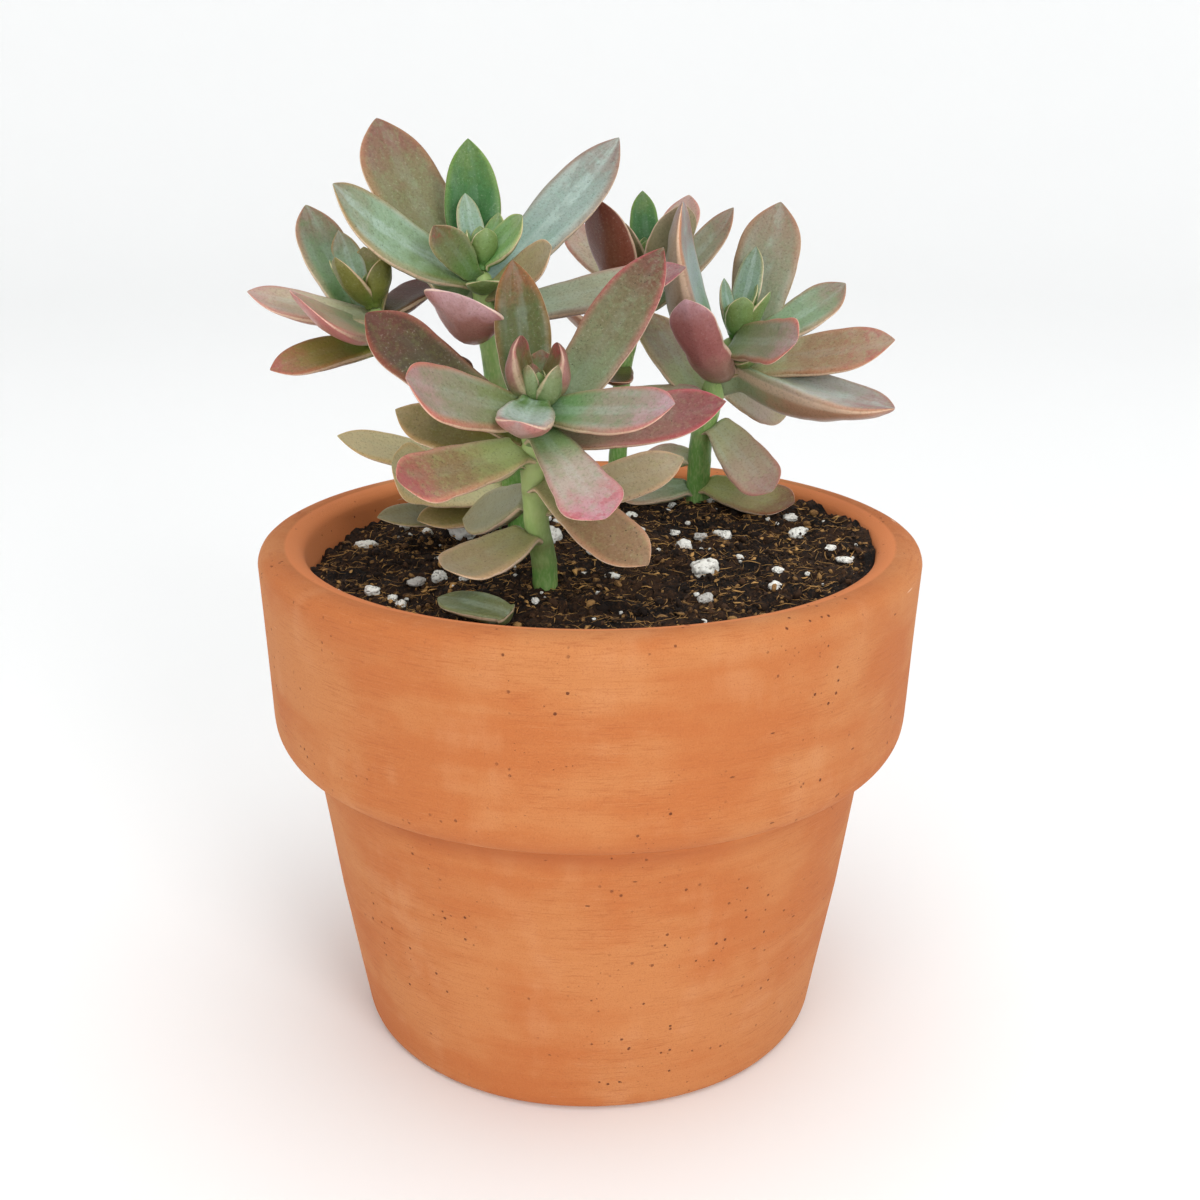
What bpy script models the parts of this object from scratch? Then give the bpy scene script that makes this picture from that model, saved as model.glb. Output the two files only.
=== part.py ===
# Potted succulent: a clay pot, potting soil and one plant with five stems of fleshy leaves.
# Metres, +Z up. The origin is on the pot's axis, at the middle of its base.

import math

import bmesh
import bpy
from mathutils import Quaternion, Vector

MM = 0.001
GAP = 0.3            # clearance between neighbouring pieces

# Pot
POT_HEIGHT = 85.8
RIM_RADIUS = 55.0
COLLAR_LOW_RADIUS = 54.0     # outside of the collar just above its rounded lower corner
COLLAR_BOTTOM = 51.3         # height of the crease under the collar
NECK_RADIUS = 48.1           # body radius at that crease
BASE_RADIUS = 40.7
MOUTH_RADIUS = 47.5          # inside of the wall at the rim
FLOOR_THICKNESS = 7.0
FLOOR_RADIUS = 35.2          # inside of the wall just above the floor
DRAIN_RADIUS = 6.0
TURN_STEPS = 48

# Soil
SOIL_LEVEL = 82.2
SOIL_RISE = 0.045            # rises towards +X, mm per mm

# Stems: radius, then points up the middle of the stem, in mm
STEMS = {
    "front": (2.0, [(-7, -18, 72), (-7, -18, 85), (-8.2, -19, 92), (-8.8, -20.5, 103),
                    (-7.8, -21.5, 111.5)]),
    "middle": (1.9, [(-13, 14, 72), (-13, 14, 85), (-14.5, 11, 96), (-16, 8.5, 108),
                     (-17.3, 6.5, 120), (-18.2, 6, 129)]),
    "left": (1.7, [(-18, 18, 72), (-18, 18, 85), (-19.5, 15, 94), (-23, 11, 103),
                   (-28.5, 8, 110), (-34, 5.5, 117), (-36.2, 4.5, 122.5)]),
    "right": (2.2, [(20, 29, 72), (20, 29, 85), (20.2, 28, 95), (22.5, 26.8, 106),
                    (25.2, 26, 112), (26.5, 25.5, 114.5)]),
    "rear": (1.7, [(4.5, 33.5, 72), (4.5, 33.5, 85), (5.4, 32.5, 98), (5.6, 32, 108),
                   (8, 31.2, 118), (10.2, 30.6, 126)]),
}

# Where each group of leaves looks with its upper faces: azimuth and rise in degrees
FACING = {
    "front": (-88, 42),
    "middle": (-90, 50),
    "left": (-120, 70),
    "right": (-60, 65),
    "rear": (90, 85),
    "low": (-90, 60),
}

# Colours, linear
TERRACOTTA = (0.68, 0.23, 0.085)
SOIL = (0.035, 0.022, 0.013)
STEM_GREEN = (0.24, 0.42, 0.14)
GREEN = (0.24, 0.38, 0.22)
ROSE = (0.42, 0.20, 0.17)
BRONZE = (0.30, 0.21, 0.14)
OLIVE = (0.24, 0.22, 0.12)
PALE = (0.50, 0.40, 0.30)

# Leaves. Each starts beside a stem at a height and points along an azimuth (degrees from +X
# towards +Y) and a rise above the horizontal. Then: length, width, thickness (mm), bend (degrees
# that it curls up along its length), sway (degrees to its left), turn (degrees about its length)
# and the place of its full width, from base 0 to tip 1.
LEAVES = [
    ("front_leaf_01", "front", 110.5, 108, 66, 22.5, 8.6, 2.6, 8, 5, 0, 0.50, GREEN),
    ("front_leaf_02", "front", 110.0, 34, 50, 30, 9.6, 2.8, 6, 0, 0, 0.52, BRONZE),
    ("front_leaf_03", "front", 110.5, -34, 8, 22, 8.4, 3.2, 10, 0, 0, 0.56, ROSE),
    ("front_leaf_04", "front", 106.5, -12, 13, 27, 8.4, 2.8, 12, 0, 0, 0.64, ROSE),
    ("front_leaf_05", "front", 107.0, -62, -23, 21.5, 9.0, 3.2, -10, 0, 0, 0.70, ROSE),
    ("front_leaf_06", "front", 104.5, -140, -6, 22, 8.8, 3.2, 10, 0, 0, 0.62, ROSE),
    ("front_leaf_07", "front", 110.5, -138, 18, 22, 8.8, 3.2, 15, 0, 0, 0.58, ROSE),
    ("front_leaf_08", "front", 107.5, 166, 35, 28, 9.4, 3.0, 8, 0, 0, 0.64, ROSE),
    ("front_leaf_09", "front", 112.0, -98, -8, 10, 8.2, 2.6, 25, 0, 0, 0.50, GREEN),
    ("front_leaf_10", "front", 99.5, -45, -22, 23, 8.4, 2.8, 5, 0, 0, 0.60, BRONZE),
    ("front_leaf_11", "front", 91.0, -130, -11, 18, 8.0, 2.8, 10, 0, 15, 0.58, OLIVE),
    ("front_leaf_12", "front", 103.5, 155, 12, 22, 7.6, 2.6, 15, 0, 0, 0.62, OLIVE),
    ("front_leaf_13", "front", 95.5, 15, 15, 22, 7.4, 2.6, 10, 0, 0, 0.60, OLIVE),
    ("middle_leaf_01", "middle", 123.5, 146, 57, 33.5, 12.0, 3.0, 6, 0, 20, 0.58, GREEN),
    ("middle_leaf_02", "middle", 128.0, -150, 30, 26.5, 9.0, 3.2, 28, 0, 10, 0.56, GREEN),
    ("middle_leaf_03", "middle", 127.0, 106, 78, 22, 9.4, 2.8, 6, 0, 0, 0.50, GREEN),
    ("middle_leaf_04", "middle", 127.5, 28, 44, 30.5, 9.4, 3.2, 12, 0, 0, 0.56, GREEN),
    ("middle_leaf_05", "middle", 128.0, -112, 54, 13.5, 6.2, 2.4, 10, 0, -25, 0.52, GREEN),
    ("middle_leaf_06", "middle", 125.5, -40, 34, 15, 6.4, 2.4, 10, 0, 0, 0.58, BRONZE),
    ("middle_leaf_07", "middle", 120.5, -104, 18, 19, 9, 3.8, 20, 0, 0, 0.64, ROSE),
    ("middle_leaf_08", "middle", 121.5, -12, 12, 31.5, 7.0, 2.8, 6, 0, 0, 0.60, PALE),
    ("left_leaf_01", "left", 120.0, 144, 56, 21.5, 8.0, 2.6, 8, 0, 20, 0.58, GREEN),
    ("left_leaf_02", "left", 122.0, 92, 72, 13.5, 6.6, 2.4, 6, 0, 0, 0.52, OLIVE),
    ("left_leaf_03", "left", 121.0, 58, 38, 15, 7.4, 2.6, 8, 0, 0, 0.58, BRONZE),
    ("left_leaf_04", "left", 121.0, -165, 10, 17.5, 6.8, 2.8, 8, 0, -10, 0.60, ROSE),
    ("left_leaf_05", "left", 119.0, -122, 16, 18, 8.6, 3.2, 14, 0, 0, 0.60, ROSE),
    ("left_leaf_06", "left", 116.5, -146, -6, 20.5, 6.4, 3.0, -12, 0, 0, 0.58, BRONZE),
    ("right_leaf_01", "right", 112.5, 52, 68, 27, 11.6, 2.8, 8, 0, -10, 0.58, PALE),
    ("right_leaf_02", "right", 113.0, -142, 72, 27, 8.0, 3.8, 24, 0, 35, 0.60, BRONZE),
    ("right_leaf_03", "right", 113.5, 14, 30, 21.5, 7.8, 2.8, 8, 0, 0, 0.60, GREEN),
    ("right_leaf_04", "right", 110.0, -26, 12, 28.5, 8.8, 3.0, 5, 0, 25, 0.62, PALE),
    ("right_leaf_05", "right", 107.5, -36, -5, 31, 8.4, 4.2, 8, 0, 0, 0.62, ROSE),
    ("right_leaf_06", "right", 114.5, -70, 14, 18, 9.4, 3.0, 5, 0, 35, 0.58, GREEN),
    ("right_leaf_07", "right", 109.5, -122, 52, 17.5, 8.2, 3.6, 25, 0, 60, 0.62, ROSE),
    ("right_leaf_08", "right", 105.5, 35, -25, 17, 8.6, 2.6, 0, 0, 40, 0.58, PALE),
    ("right_leaf_09", "right", 103.5, 132, 50, 21, 9.0, 2.8, 0, 0, 0, 0.64, PALE),
    ("right_leaf_10", "right", 98.5, -52, -28, 20, 8.8, 2.8, 10, 0, 35, 0.58, PALE),
    ("right_leaf_11", "right", 87.2, -40, -3, 19, 8.0, 2.6, 5, 0, 25, 0.58, OLIVE),
    ("rear_leaf_01", "rear", 122.0, -132, 60, 20.5, 8.0, 2.8, 8, 0, 0, 0.55, BRONZE),
    ("rear_leaf_02", "rear", 122.5, 150, 46, 21, 7.0, 2.6, 8, 0, -50, 0.60, PALE),
    ("rear_leaf_03", "rear", 123.5, -65, 70, 16.5, 8.4, 2.8, 8, 0, 0, 0.55, GREEN),
    ("rear_leaf_04", "rear", 123.5, 62, 54, 21, 8.2, 2.8, 8, 0, 0, 0.58, PALE),
    ("rear_leaf_05", "rear", 120.6, 14, 40, 19.5, 6.8, 2.4, 8, 0, 40, 0.58, GREEN),
    ("low_leaf_01", "left", 94.0, -162, 15, 23.5, 6.6, 2.4, 8, 0, 0, 0.60, OLIVE),
    ("low_leaf_02", "middle", 92.0, -158, 25, 23, 7.0, 2.6, 35, 0, 0, 0.60, OLIVE),
    ("low_leaf_03", "left", 85.0, -140, 5, 22, 6.6, 2.4, 0, 0, 0, 0.60, PALE),
    ("low_leaf_04", "middle", 86.8, -146, -1, 17.5, 6.8, 2.4, 0, 0, 0, 0.60, OLIVE),
]

# A leaf that has dropped off: its base, then the same numbers as above
FALLEN_BASE = (-11.5, -38.5, 83.9)
FALLEN_LEAF = ("fallen_leaf", 150, 2, 12.5, 6.0, 2.2, -12, 0, 10, 0.5, OLIVE)

# Crowns: the young leaves around each growing tip, as azimuth, rise, length and width
CROWNS = {
    "front": [(-170, 68, 8.5, 3.6), (75, 62, 7.0, 4.2), (-20, 60, 9.0, 4.6), (-55, 50, 5.6, 4.0),
              (170, 50, 5.0, 3.2)],
    "middle": [(120, 64, 10.5, 4.4), (-30, 46, 11.0, 5.2), (45, 60, 8.0, 4.4), (-75, 66, 6.0, 4.2),
               (180, 60, 5.5, 3.4)],
    "left": [(-130, 46, 10.5, 5.0), (175, 44, 8.5, 4.0), (-50, 62, 7.0, 4.2), (60, 62, 6.5, 4.0)],
    "right": [(48, 66, 14.5, 5.6), (-22, 50, 8.5, 4.4), (125, 66, 8.0, 3.4), (-68, 46, 8.2, 4.2)],
    "rear": [(80, 66, 13.0, 5.0), (-150, 60, 8.0, 4.0), (-20, 60, 8.0, 4.2)],
}
CROWN_THICKNESS = 1.8
HEART_RADIUS = 1.5

# Sections of a leaf: stations along it, and points round a section as fractions of the half
# width (across) and of the thickness (up). The upper face is a shallow channel.
STATIONS = (0.0, 0.06, 0.18, 0.32, 0.46, 0.60, 0.73, 0.84, 0.93)
SECTION = ((-1, 0), (-0.60, -0.52), (0, -0.78), (0.60, -0.52),
           (1, 0), (0.60, 0.20), (0, 0.10), (-0.60, 0.20))


def link(obj, colour, roughness=0.6):
    """Puts an object in the part's collection with a material of its own."""
    part_collection.objects.link(obj)
    material = bpy.data.materials.new(obj.name)
    material.use_nodes = True
    shader = material.node_tree.nodes["Principled BSDF"]
    shader.inputs["Base Color"].default_value = (*colour, 1.0)
    shader.inputs["Roughness"].default_value = roughness
    shader.inputs["Metallic"].default_value = 0.0
    material.diffuse_color = (*colour, 1.0)
    obj.data.materials.clear()
    obj.data.materials.append(material)
    return obj


def mesh_object(name, bm):
    """Makes an object of a bmesh, with its faces turned out and shaded smooth."""
    bmesh.ops.recalc_face_normals(bm, faces=bm.faces)
    mesh = bpy.data.meshes.new(name)
    bm.to_mesh(mesh)
    bm.free()
    mesh.shade_smooth()
    return bpy.data.objects.new(name, mesh)


def turned(name, profile, colour, roughness):
    """A closed profile of (radius, height) in mm, turned about Z."""
    mesh = bpy.data.meshes.new(name)
    points = [(r * MM, 0.0, z * MM) for r, z in profile]
    count = len(points)
    mesh.from_pydata(points, [(i, (i + 1) % count) for i in range(count)], [])
    obj = link(bpy.data.objects.new(name, mesh), colour, roughness)
    screw = obj.modifiers.new("Turn", "SCREW")
    screw.angle = math.tau
    screw.steps = TURN_STEPS
    screw.render_steps = TURN_STEPS
    screw.use_merge_vertices = True
    screw.merge_threshold = 0.00001
    screw.use_smooth_shade = True
    return obj


def inner_radius(z):
    """Radius of the pot's inner wall at a height."""
    share = (z - FLOOR_THICKNESS - 3.5) / (POT_HEIGHT - 1.8 - FLOOR_THICKNESS - 3.5)
    return FLOOR_RADIUS + (MOUTH_RADIUS - FLOOR_RADIUS) * share


def pot_profile():
    """Outline of the wall: down the outside, across the base, up the inside, over the rim."""
    top = POT_HEIGHT
    points = [(51.8, top), (53.4, top - 0.35), (54.5, top - 1.1), (RIM_RADIUS, top - 2.4)]
    corner_across = COLLAR_LOW_RADIUS - NECK_RADIUS
    corner_up = 6.6
    for step in range(6):
        angle = math.radians(18 * step)
        points.append((NECK_RADIUS + corner_across * math.cos(angle) ** 0.9,
                       COLLAR_BOTTOM + corner_up * (1 - math.sin(angle) ** 0.9)))
    points[-1] = (NECK_RADIUS + 0.05, COLLAR_BOTTOM)
    points += [(NECK_RADIUS - 0.35, COLLAR_BOTTOM - 0.9), (44.5, COLLAR_BOTTOM / 2),
               (BASE_RADIUS, 2.0), (BASE_RADIUS - 0.5, 0.7), (BASE_RADIUS - 1.8, 0.0),
               (DRAIN_RADIUS + 0.7, 0.0), (DRAIN_RADIUS, 0.8), (DRAIN_RADIUS, FLOOR_THICKNESS - 0.8),
               (DRAIN_RADIUS + 0.8, FLOOR_THICKNESS), (31.5, FLOOR_THICKNESS + 0.1),
               (FLOOR_RADIUS - 1.1, FLOOR_THICKNESS + 1.2), (FLOOR_RADIUS, FLOOR_THICKNESS + 3.5),
               (inner_radius(top / 2), top / 2), (MOUTH_RADIUS, top - 1.8),
               (MOUTH_RADIUS + 0.6, top - 0.9), (MOUTH_RADIUS + 2.0, top - 0.25)]
    return points


def soil_height(x, y):
    """Height of the soil's surface: rising to one side, with low mounds."""
    mounds = (0.55 * math.sin(0.16 * x + 0.4) * math.cos(0.13 * y - 0.7)
              + 0.40 * math.sin(0.31 * x - 0.24 * y + 1.1)
              + 0.25 * math.cos(0.45 * y + 0.2 * x))
    return SOIL_LEVEL + SOIL_RISE * x + mounds


def stem_point(stem, height):
    """The middle of a stem at a height."""
    points = STEMS[stem][1]
    for low, high in zip(points, points[1:]):
        if height <= high[2]:
            break
    share = (height - low[2]) / (high[2] - low[2])
    return Vector(low).lerp(Vector(high), share)


def make_stem(stem):
    """A tapering tube from the soil to under the crown."""
    radius, points = STEMS[stem]
    curve = bpy.data.curves.new(stem + "_stem", "CURVE")
    curve.dimensions = "3D"
    curve.bevel_depth = radius * MM
    curve.bevel_resolution = 2
    curve.use_fill_caps = True
    spline = curve.splines.new("POLY")
    spline.points.add(len(points) - 1)
    for point, place in zip(spline.points, points):
        point.co = (place[0] * MM, place[1] * MM, place[2] * MM, 1.0)
    return link(bpy.data.objects.new(stem + "_stem", curve), STEM_GREEN, 0.45)


def width_share(t, fullest):
    """Width of a leaf at t, as a share of its full width: a narrow base and a pointed tip."""
    if t < fullest:
        return 0.42 + 0.58 * math.sin(0.5 * math.pi * t / fullest) ** 1.2
    return 1.0 - ((t - fullest) / (1.0 - fullest)) ** 2.1


def thickness_share(t):
    """Thickness of a leaf at t, as a share of its full thickness."""
    return (0.80 + 0.20 * math.sin(math.pi * min(t * 1.4, 1.0))) * (1.0 - t ** 3.2) ** 0.8


def direction(azimuth, rise):
    """Unit vector from an azimuth and a rise in degrees."""
    level, climb = math.radians(azimuth), math.radians(rise)
    return Vector((math.cos(climb) * math.cos(level), math.cos(climb) * math.sin(level),
                   math.sin(climb)))


def loft_leaf(bm, facing, base, azimuth, rise, length, width, thickness, bend, sway, turn, fullest):
    """Adds a closed fleshy leaf to a bmesh: sections along a gently curling middle line."""
    chord = direction(azimuth, rise)
    across = chord.cross(facing).normalized()
    across.rotate(Quaternion(chord, math.radians(turn)))
    upper = across.cross(chord)
    place = Vector(base)
    previous = 0.0
    rings = []

    def heading(t):
        curl = math.tan(math.radians(bend * (t - 0.5)))
        swing = math.tan(math.radians(sway * (t - 0.5)))
        return (chord + upper * curl - across * swing).normalized()

    for t in (*STATIONS, 1.0):
        place = place + heading((previous + t) / 2) * length * (t - previous)
        previous = t
        along = heading(t)
        face = (upper - along * upper.dot(along)).normalized()
        side = along.cross(face)
        if t == 1.0:
            tip = bm.verts.new(place * MM)
            break
        half = width * width_share(t, fullest) / 2
        depth = thickness * thickness_share(t)
        rings.append([bm.verts.new((place + side * half * wide + face * depth * up) * MM)
                      for wide, up in SECTION])
    for low, high in zip(rings, rings[1:]):
        for i in range(len(SECTION)):
            j = (i + 1) % len(SECTION)
            bm.faces.new((low[i], low[j], high[j], high[i]))
    for i in range(len(SECTION)):
        bm.faces.new((rings[-1][i], rings[-1][(i + 1) % len(SECTION)], tip))
    bm.faces.new(rings[0][::-1])


def make_leaf(name, stem, height, azimuth, rise, length, width, thickness, bend, sway, turn,
              fullest, colour):
    """A leaf that starts just clear of its stem."""
    facing = direction(*FACING[name.split("_")[0]])
    lean = abs(math.sin(math.radians(rise))) * thickness * 0.7
    base = stem_point(stem, height) + direction(azimuth, 0) * (STEMS[stem][0] + GAP + lean)
    bm = bmesh.new()
    loft_leaf(bm, facing, base, azimuth, rise, length, width, thickness, bend, sway, turn, fullest)
    return link(mesh_object(name, bm), colour)


def join(target, tools):
    """Unites closed meshes with the target, one after another, as one body."""
    for tool in tools:
        cutter_collection.objects.link(tool)
        tool.hide_render = True
        tool.display_type = "WIRE"
        union = target.modifiers.new("Join " + tool.name, "BOOLEAN")
        union.operation = "UNION"
        union.solver = "EXACT"
        union.object = tool


def make_crown(stem):
    """Young leaves around a round growing tip, all one body."""
    radius, points = STEMS[stem]
    top = Vector(points[-1]) + Vector((0, 0, GAP + 1.4))
    bm = bmesh.new()
    bmesh.ops.create_uvsphere(bm, u_segments=12, v_segments=8, radius=HEART_RADIUS * MM)
    bmesh.ops.scale(bm, vec=(1.0, 1.0, 0.9), verts=bm.verts)
    bmesh.ops.translate(bm, vec=top * MM, verts=bm.verts)
    crown = link(mesh_object(stem + "_crown", bm), GREEN)
    young = []
    for number, (azimuth, rise, length, width) in enumerate(CROWNS[stem], 1):
        bm = bmesh.new()
        base = top + direction(azimuth, 0) * 0.45
        loft_leaf(bm, direction(*FACING[stem]), base, azimuth, rise, length, width,
                  CROWN_THICKNESS, 12, 0, 0, 0.5)
        young.append(mesh_object(f"{stem}_young_{number}", bm))
    join(crown, young)


def make_soil():
    """The soil: a turned plug with a mounded top and a hole for each stem."""
    low = FLOOR_THICKNESS + 0.5
    side_top = SOIL_LEVEL - 4.0
    profile = [(0, SOIL_LEVEL)]
    profile += [(r, SOIL_LEVEL) for r in (7, 14, 21, 28, 35, 41, 46.0)]
    profile += [(inner_radius(side_top) - GAP, side_top),
                (FLOOR_RADIUS - GAP, FLOOR_THICKNESS + 3.8),
                (FLOOR_RADIUS - 1.6, FLOOR_THICKNESS + 1.6), (31.0, low), (0, low)]
    bm = bmesh.new()
    line = [bm.verts.new((r * MM, 0.0, z * MM)) for r, z in profile]
    edges = [bm.edges.new(pair) for pair in zip(line, line[1:])]
    bmesh.ops.spin(bm, geom=line + edges, axis=(0, 0, 1), cent=(0, 0, 0), angle=math.tau,
                   steps=TURN_STEPS, use_merge=True)
    bmesh.ops.remove_doubles(bm, verts=bm.verts, dist=0.00001)
    for vert in bm.verts:
        if vert.co.z > (SOIL_LEVEL - 0.5) * MM:
            height = soil_height(vert.co.x / MM, vert.co.y / MM)
            radius = math.hypot(vert.co.x, vert.co.y) / MM
            if radius > 45:
                vert.co.x *= (inner_radius(height) - GAP) / radius
                vert.co.y *= (inner_radius(height) - GAP) / radius
            vert.co.z = height * MM
    soil = link(mesh_object("potting_soil", bm), SOIL, 0.95)
    for stem, (radius, points) in STEMS.items():
        x, y, z = points[0]
        bpy.ops.mesh.primitive_cylinder_add(vertices=16, radius=(radius + GAP) * MM, depth=0.03,
                                            location=(x * MM, y * MM, (z - GAP) * MM + 0.015))
        hole = bpy.context.object
        hole.name = stem + "_hole"
        for collection in list(hole.users_collection):
            collection.objects.unlink(hole)
        cutter_collection.objects.link(hole)
        hole.hide_render = True
        hole.display_type = "WIRE"
        cut = soil.modifiers.new("Hole for the " + stem + " stem", "BOOLEAN")
        cut.operation = "DIFFERENCE"
        cut.solver = "EXACT"
        cut.object = hole


for old in list(bpy.data.objects):
    bpy.data.objects.remove(old, do_unlink=True)

part_collection = bpy.data.collections.new("potted_succulent")
cutter_collection = bpy.data.collections.new("cutters")
bpy.context.scene.collection.children.link(part_collection)
bpy.context.scene.collection.children.link(cutter_collection)

turned("terracotta_pot", pot_profile(), TERRACOTTA, 0.85)
make_soil()
for stem_name in STEMS:
    make_stem(stem_name)
    make_crown(stem_name)
for row in LEAVES:
    make_leaf(*row)

name, azimuth, rise, length, width, thickness, bend, sway, turn, fullest, colour = FALLEN_LEAF
fallen = bmesh.new()
loft_leaf(fallen, direction(*FACING["low"]), FALLEN_BASE, azimuth, rise, length, width, thickness,
          bend, sway, turn, fullest)
link(mesh_object(name, fallen), colour)
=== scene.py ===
import math
import random

import bmesh
import bpy
import numpy as np
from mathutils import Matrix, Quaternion, Vector, noise
from mathutils.bvhtree import BVHTree


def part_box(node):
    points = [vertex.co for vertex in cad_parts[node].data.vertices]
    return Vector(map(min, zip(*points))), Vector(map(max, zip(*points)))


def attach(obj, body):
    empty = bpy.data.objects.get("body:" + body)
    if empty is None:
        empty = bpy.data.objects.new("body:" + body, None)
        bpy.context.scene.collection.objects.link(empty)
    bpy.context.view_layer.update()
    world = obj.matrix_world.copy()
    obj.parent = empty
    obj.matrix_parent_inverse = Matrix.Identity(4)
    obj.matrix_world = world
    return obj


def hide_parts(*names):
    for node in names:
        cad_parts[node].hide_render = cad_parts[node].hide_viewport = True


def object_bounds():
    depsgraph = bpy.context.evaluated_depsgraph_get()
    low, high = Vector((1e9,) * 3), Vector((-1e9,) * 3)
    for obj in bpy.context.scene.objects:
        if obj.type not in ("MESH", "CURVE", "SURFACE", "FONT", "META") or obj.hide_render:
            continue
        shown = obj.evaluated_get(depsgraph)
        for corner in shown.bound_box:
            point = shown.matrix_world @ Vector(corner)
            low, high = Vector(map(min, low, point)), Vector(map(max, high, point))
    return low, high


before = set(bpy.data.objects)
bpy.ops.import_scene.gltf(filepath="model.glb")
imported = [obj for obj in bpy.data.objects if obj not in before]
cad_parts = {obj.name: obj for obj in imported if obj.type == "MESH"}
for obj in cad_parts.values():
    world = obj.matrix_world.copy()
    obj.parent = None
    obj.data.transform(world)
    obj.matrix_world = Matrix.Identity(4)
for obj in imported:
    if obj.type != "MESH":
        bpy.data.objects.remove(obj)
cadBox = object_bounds()
dice = random.Random(11)
mm = 0.001   # shapes are worked out in mm and written to the meshes in metres


# ---- materials: sockets that can be written in sums, and one maker of nodes

def tint(red, green, blue):
    # a display colour, 0 to 255, as the linear colour that nodes take
    parts = [c / 255 for c in (red, green, blue)]
    return tuple(c / 12.92 if c <= 0.04045 else ((c + 0.055) / 1.055) ** 2.4 for c in parts)


class Wire:
    # a socket; sums and products of wires add Math nodes
    def __init__(self, finish, socket):
        self.finish, self.socket = finish, socket

    def __add__(self, other): return self.finish.maths("ADD", self, other)
    def __radd__(self, other): return self.finish.maths("ADD", other, self)
    def __sub__(self, other): return self.finish.maths("SUBTRACT", self, other)
    def __rsub__(self, other): return self.finish.maths("SUBTRACT", other, self)
    def __mul__(self, other): return self.finish.maths("MULTIPLY", self, other)
    def __rmul__(self, other): return self.finish.maths("MULTIPLY", other, self)
    def __abs__(self): return self.finish.maths("ABSOLUTE", self)


class Finish:
    # one material; fixed values are set straight on the shader's own sockets
    def __init__(self, name, **fixed):
        self.material = bpy.data.materials.new(name)
        self.material.use_nodes = True
        self.tree = self.material.node_tree
        self.shader = self.tree.nodes["Principled BSDF"]
        for socket, value in fixed.items():
            self.shader.inputs[socket.replace("_", " ")].default_value = value

    def feed(self, socket, value):
        if isinstance(value, Wire):
            self.tree.links.new(value.socket, socket)
        elif isinstance(value, tuple) and len(value) == 3 and socket.type == "RGBA":
            socket.default_value = (*value, 1.0)
        else:
            socket.default_value = value

    def node(self, kind, settings=None, inputs=None, output=0):
        made = self.tree.nodes.new("ShaderNode" + kind)
        for name, value in (settings or {}).items():
            setattr(made, name, value)
        for name, value in (inputs or {}).items():
            self.feed(made.inputs[name], value)
        return Wire(self, made.outputs[output])

    def maths(self, operation, *values):
        return self.node("Math", {"operation": operation}, dict(enumerate(values)))

    def blend(self, share, first, second, mode="MIX"):
        # colours: 0 gives the first, 1 the second
        settings = {"data_type": "RGBA", "blend_type": mode}
        return self.node("Mix", settings, {0: share, 6: first, 7: second}, 2)

    def ease(self, value, low, high):
        # 0 at low, 1 at high, smooth between; low may be the larger
        settings = {"interpolation_type": "SMOOTHSTEP"}
        if low > high:
            return 1 - self.ease(value, high, low)
        return self.node("MapRange", settings, {"Value": value, "From Min": low, "From Max": high})

    def place(self, x=1.0, y=1.0, z=1.0):
        # place in the row frame in mm, with each axis stretched
        spot = self.node("TexCoord", output="Object")
        scale = (1000 * x, 1000 * y, 1000 * z)
        return self.node("VectorMath", {"operation": "MULTIPLY"}, {0: spot, 1: scale})

    def clouds(self, place, scale, detail=3.0, rough=0.5):
        inputs = {"Vector": place, "Scale": scale, "Detail": detail, "Roughness": rough}
        return self.node("TexNoise", {}, inputs, "Fac")

    def dots(self, place, scale, size, share):
        # round spots in some of the cells of a grid of random points
        cell = {"Vector": place, "Scale": scale}
        near = self.node("TexVoronoi", {}, cell, "Distance")
        which = self.node("SeparateColor", {}, {"Color": self.node("TexVoronoi", {}, cell, "Color")})
        return self.ease(near, size, size * 0.55) * self.ease(which, share + 0.01, share)

    def mark(self, name):
        return self.node("Attribute", {"attribute_name": name}, output="Fac")

    def wear(self, colour, rough=None, height=None, depth=0.0):
        # joins the colour, roughness and fine relief (mm) to the shader
        self.feed(self.shader.inputs["Base Color"], colour)
        if rough is not None:
            self.feed(self.shader.inputs["Roughness"], rough)
        if height is not None:
            bump = {"Height": height, "Distance": depth * mm, "Strength": 1.0}
            self.feed(self.shader.inputs["Normal"], self.node("Bump", {}, bump))
        return self.material


# ---- reading the frame

def corners(node):
    # the distinct corners of a CAD node, in mm
    found = np.array([v.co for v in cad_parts[node].data.vertices], float) * 1000
    return np.unique(found.round(3), axis=0)


def unit(v):
    v = np.asarray(v, float)
    return v / np.linalg.norm(v, axis=-1, keepdims=True)


def smoothRead(at, places, values):
    # reads values known at rising places, along a smooth curve through them
    at, places, values = np.asarray(at, float), np.asarray(places, float), np.asarray(values, float)
    slopes = np.gradient(values, places, axis=0)
    i = np.clip(np.searchsorted(places, at) - 1, 0, len(places) - 2)
    gap = places[i + 1] - places[i]
    s = (at - places[i]) / gap
    if values.ndim > 1:
        s, gap = s[:, None], gap[:, None]
    a, b = values[i], values[i + 1]
    da, db = slopes[i] * gap, slopes[i + 1] * gap
    return a + s * (da + s * (3 * (b - a) - 2 * da - db + s * (2 * (a - b) + da + db)))


def outward(mesh):
    # smooth shading, with every face turned outwards
    shell = bmesh.new()
    shell.from_mesh(mesh)
    bmesh.ops.recalc_face_normals(shell, faces=shell.faces)
    shell.to_mesh(mesh)
    shell.free()
    mesh.shade_smooth()


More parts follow.
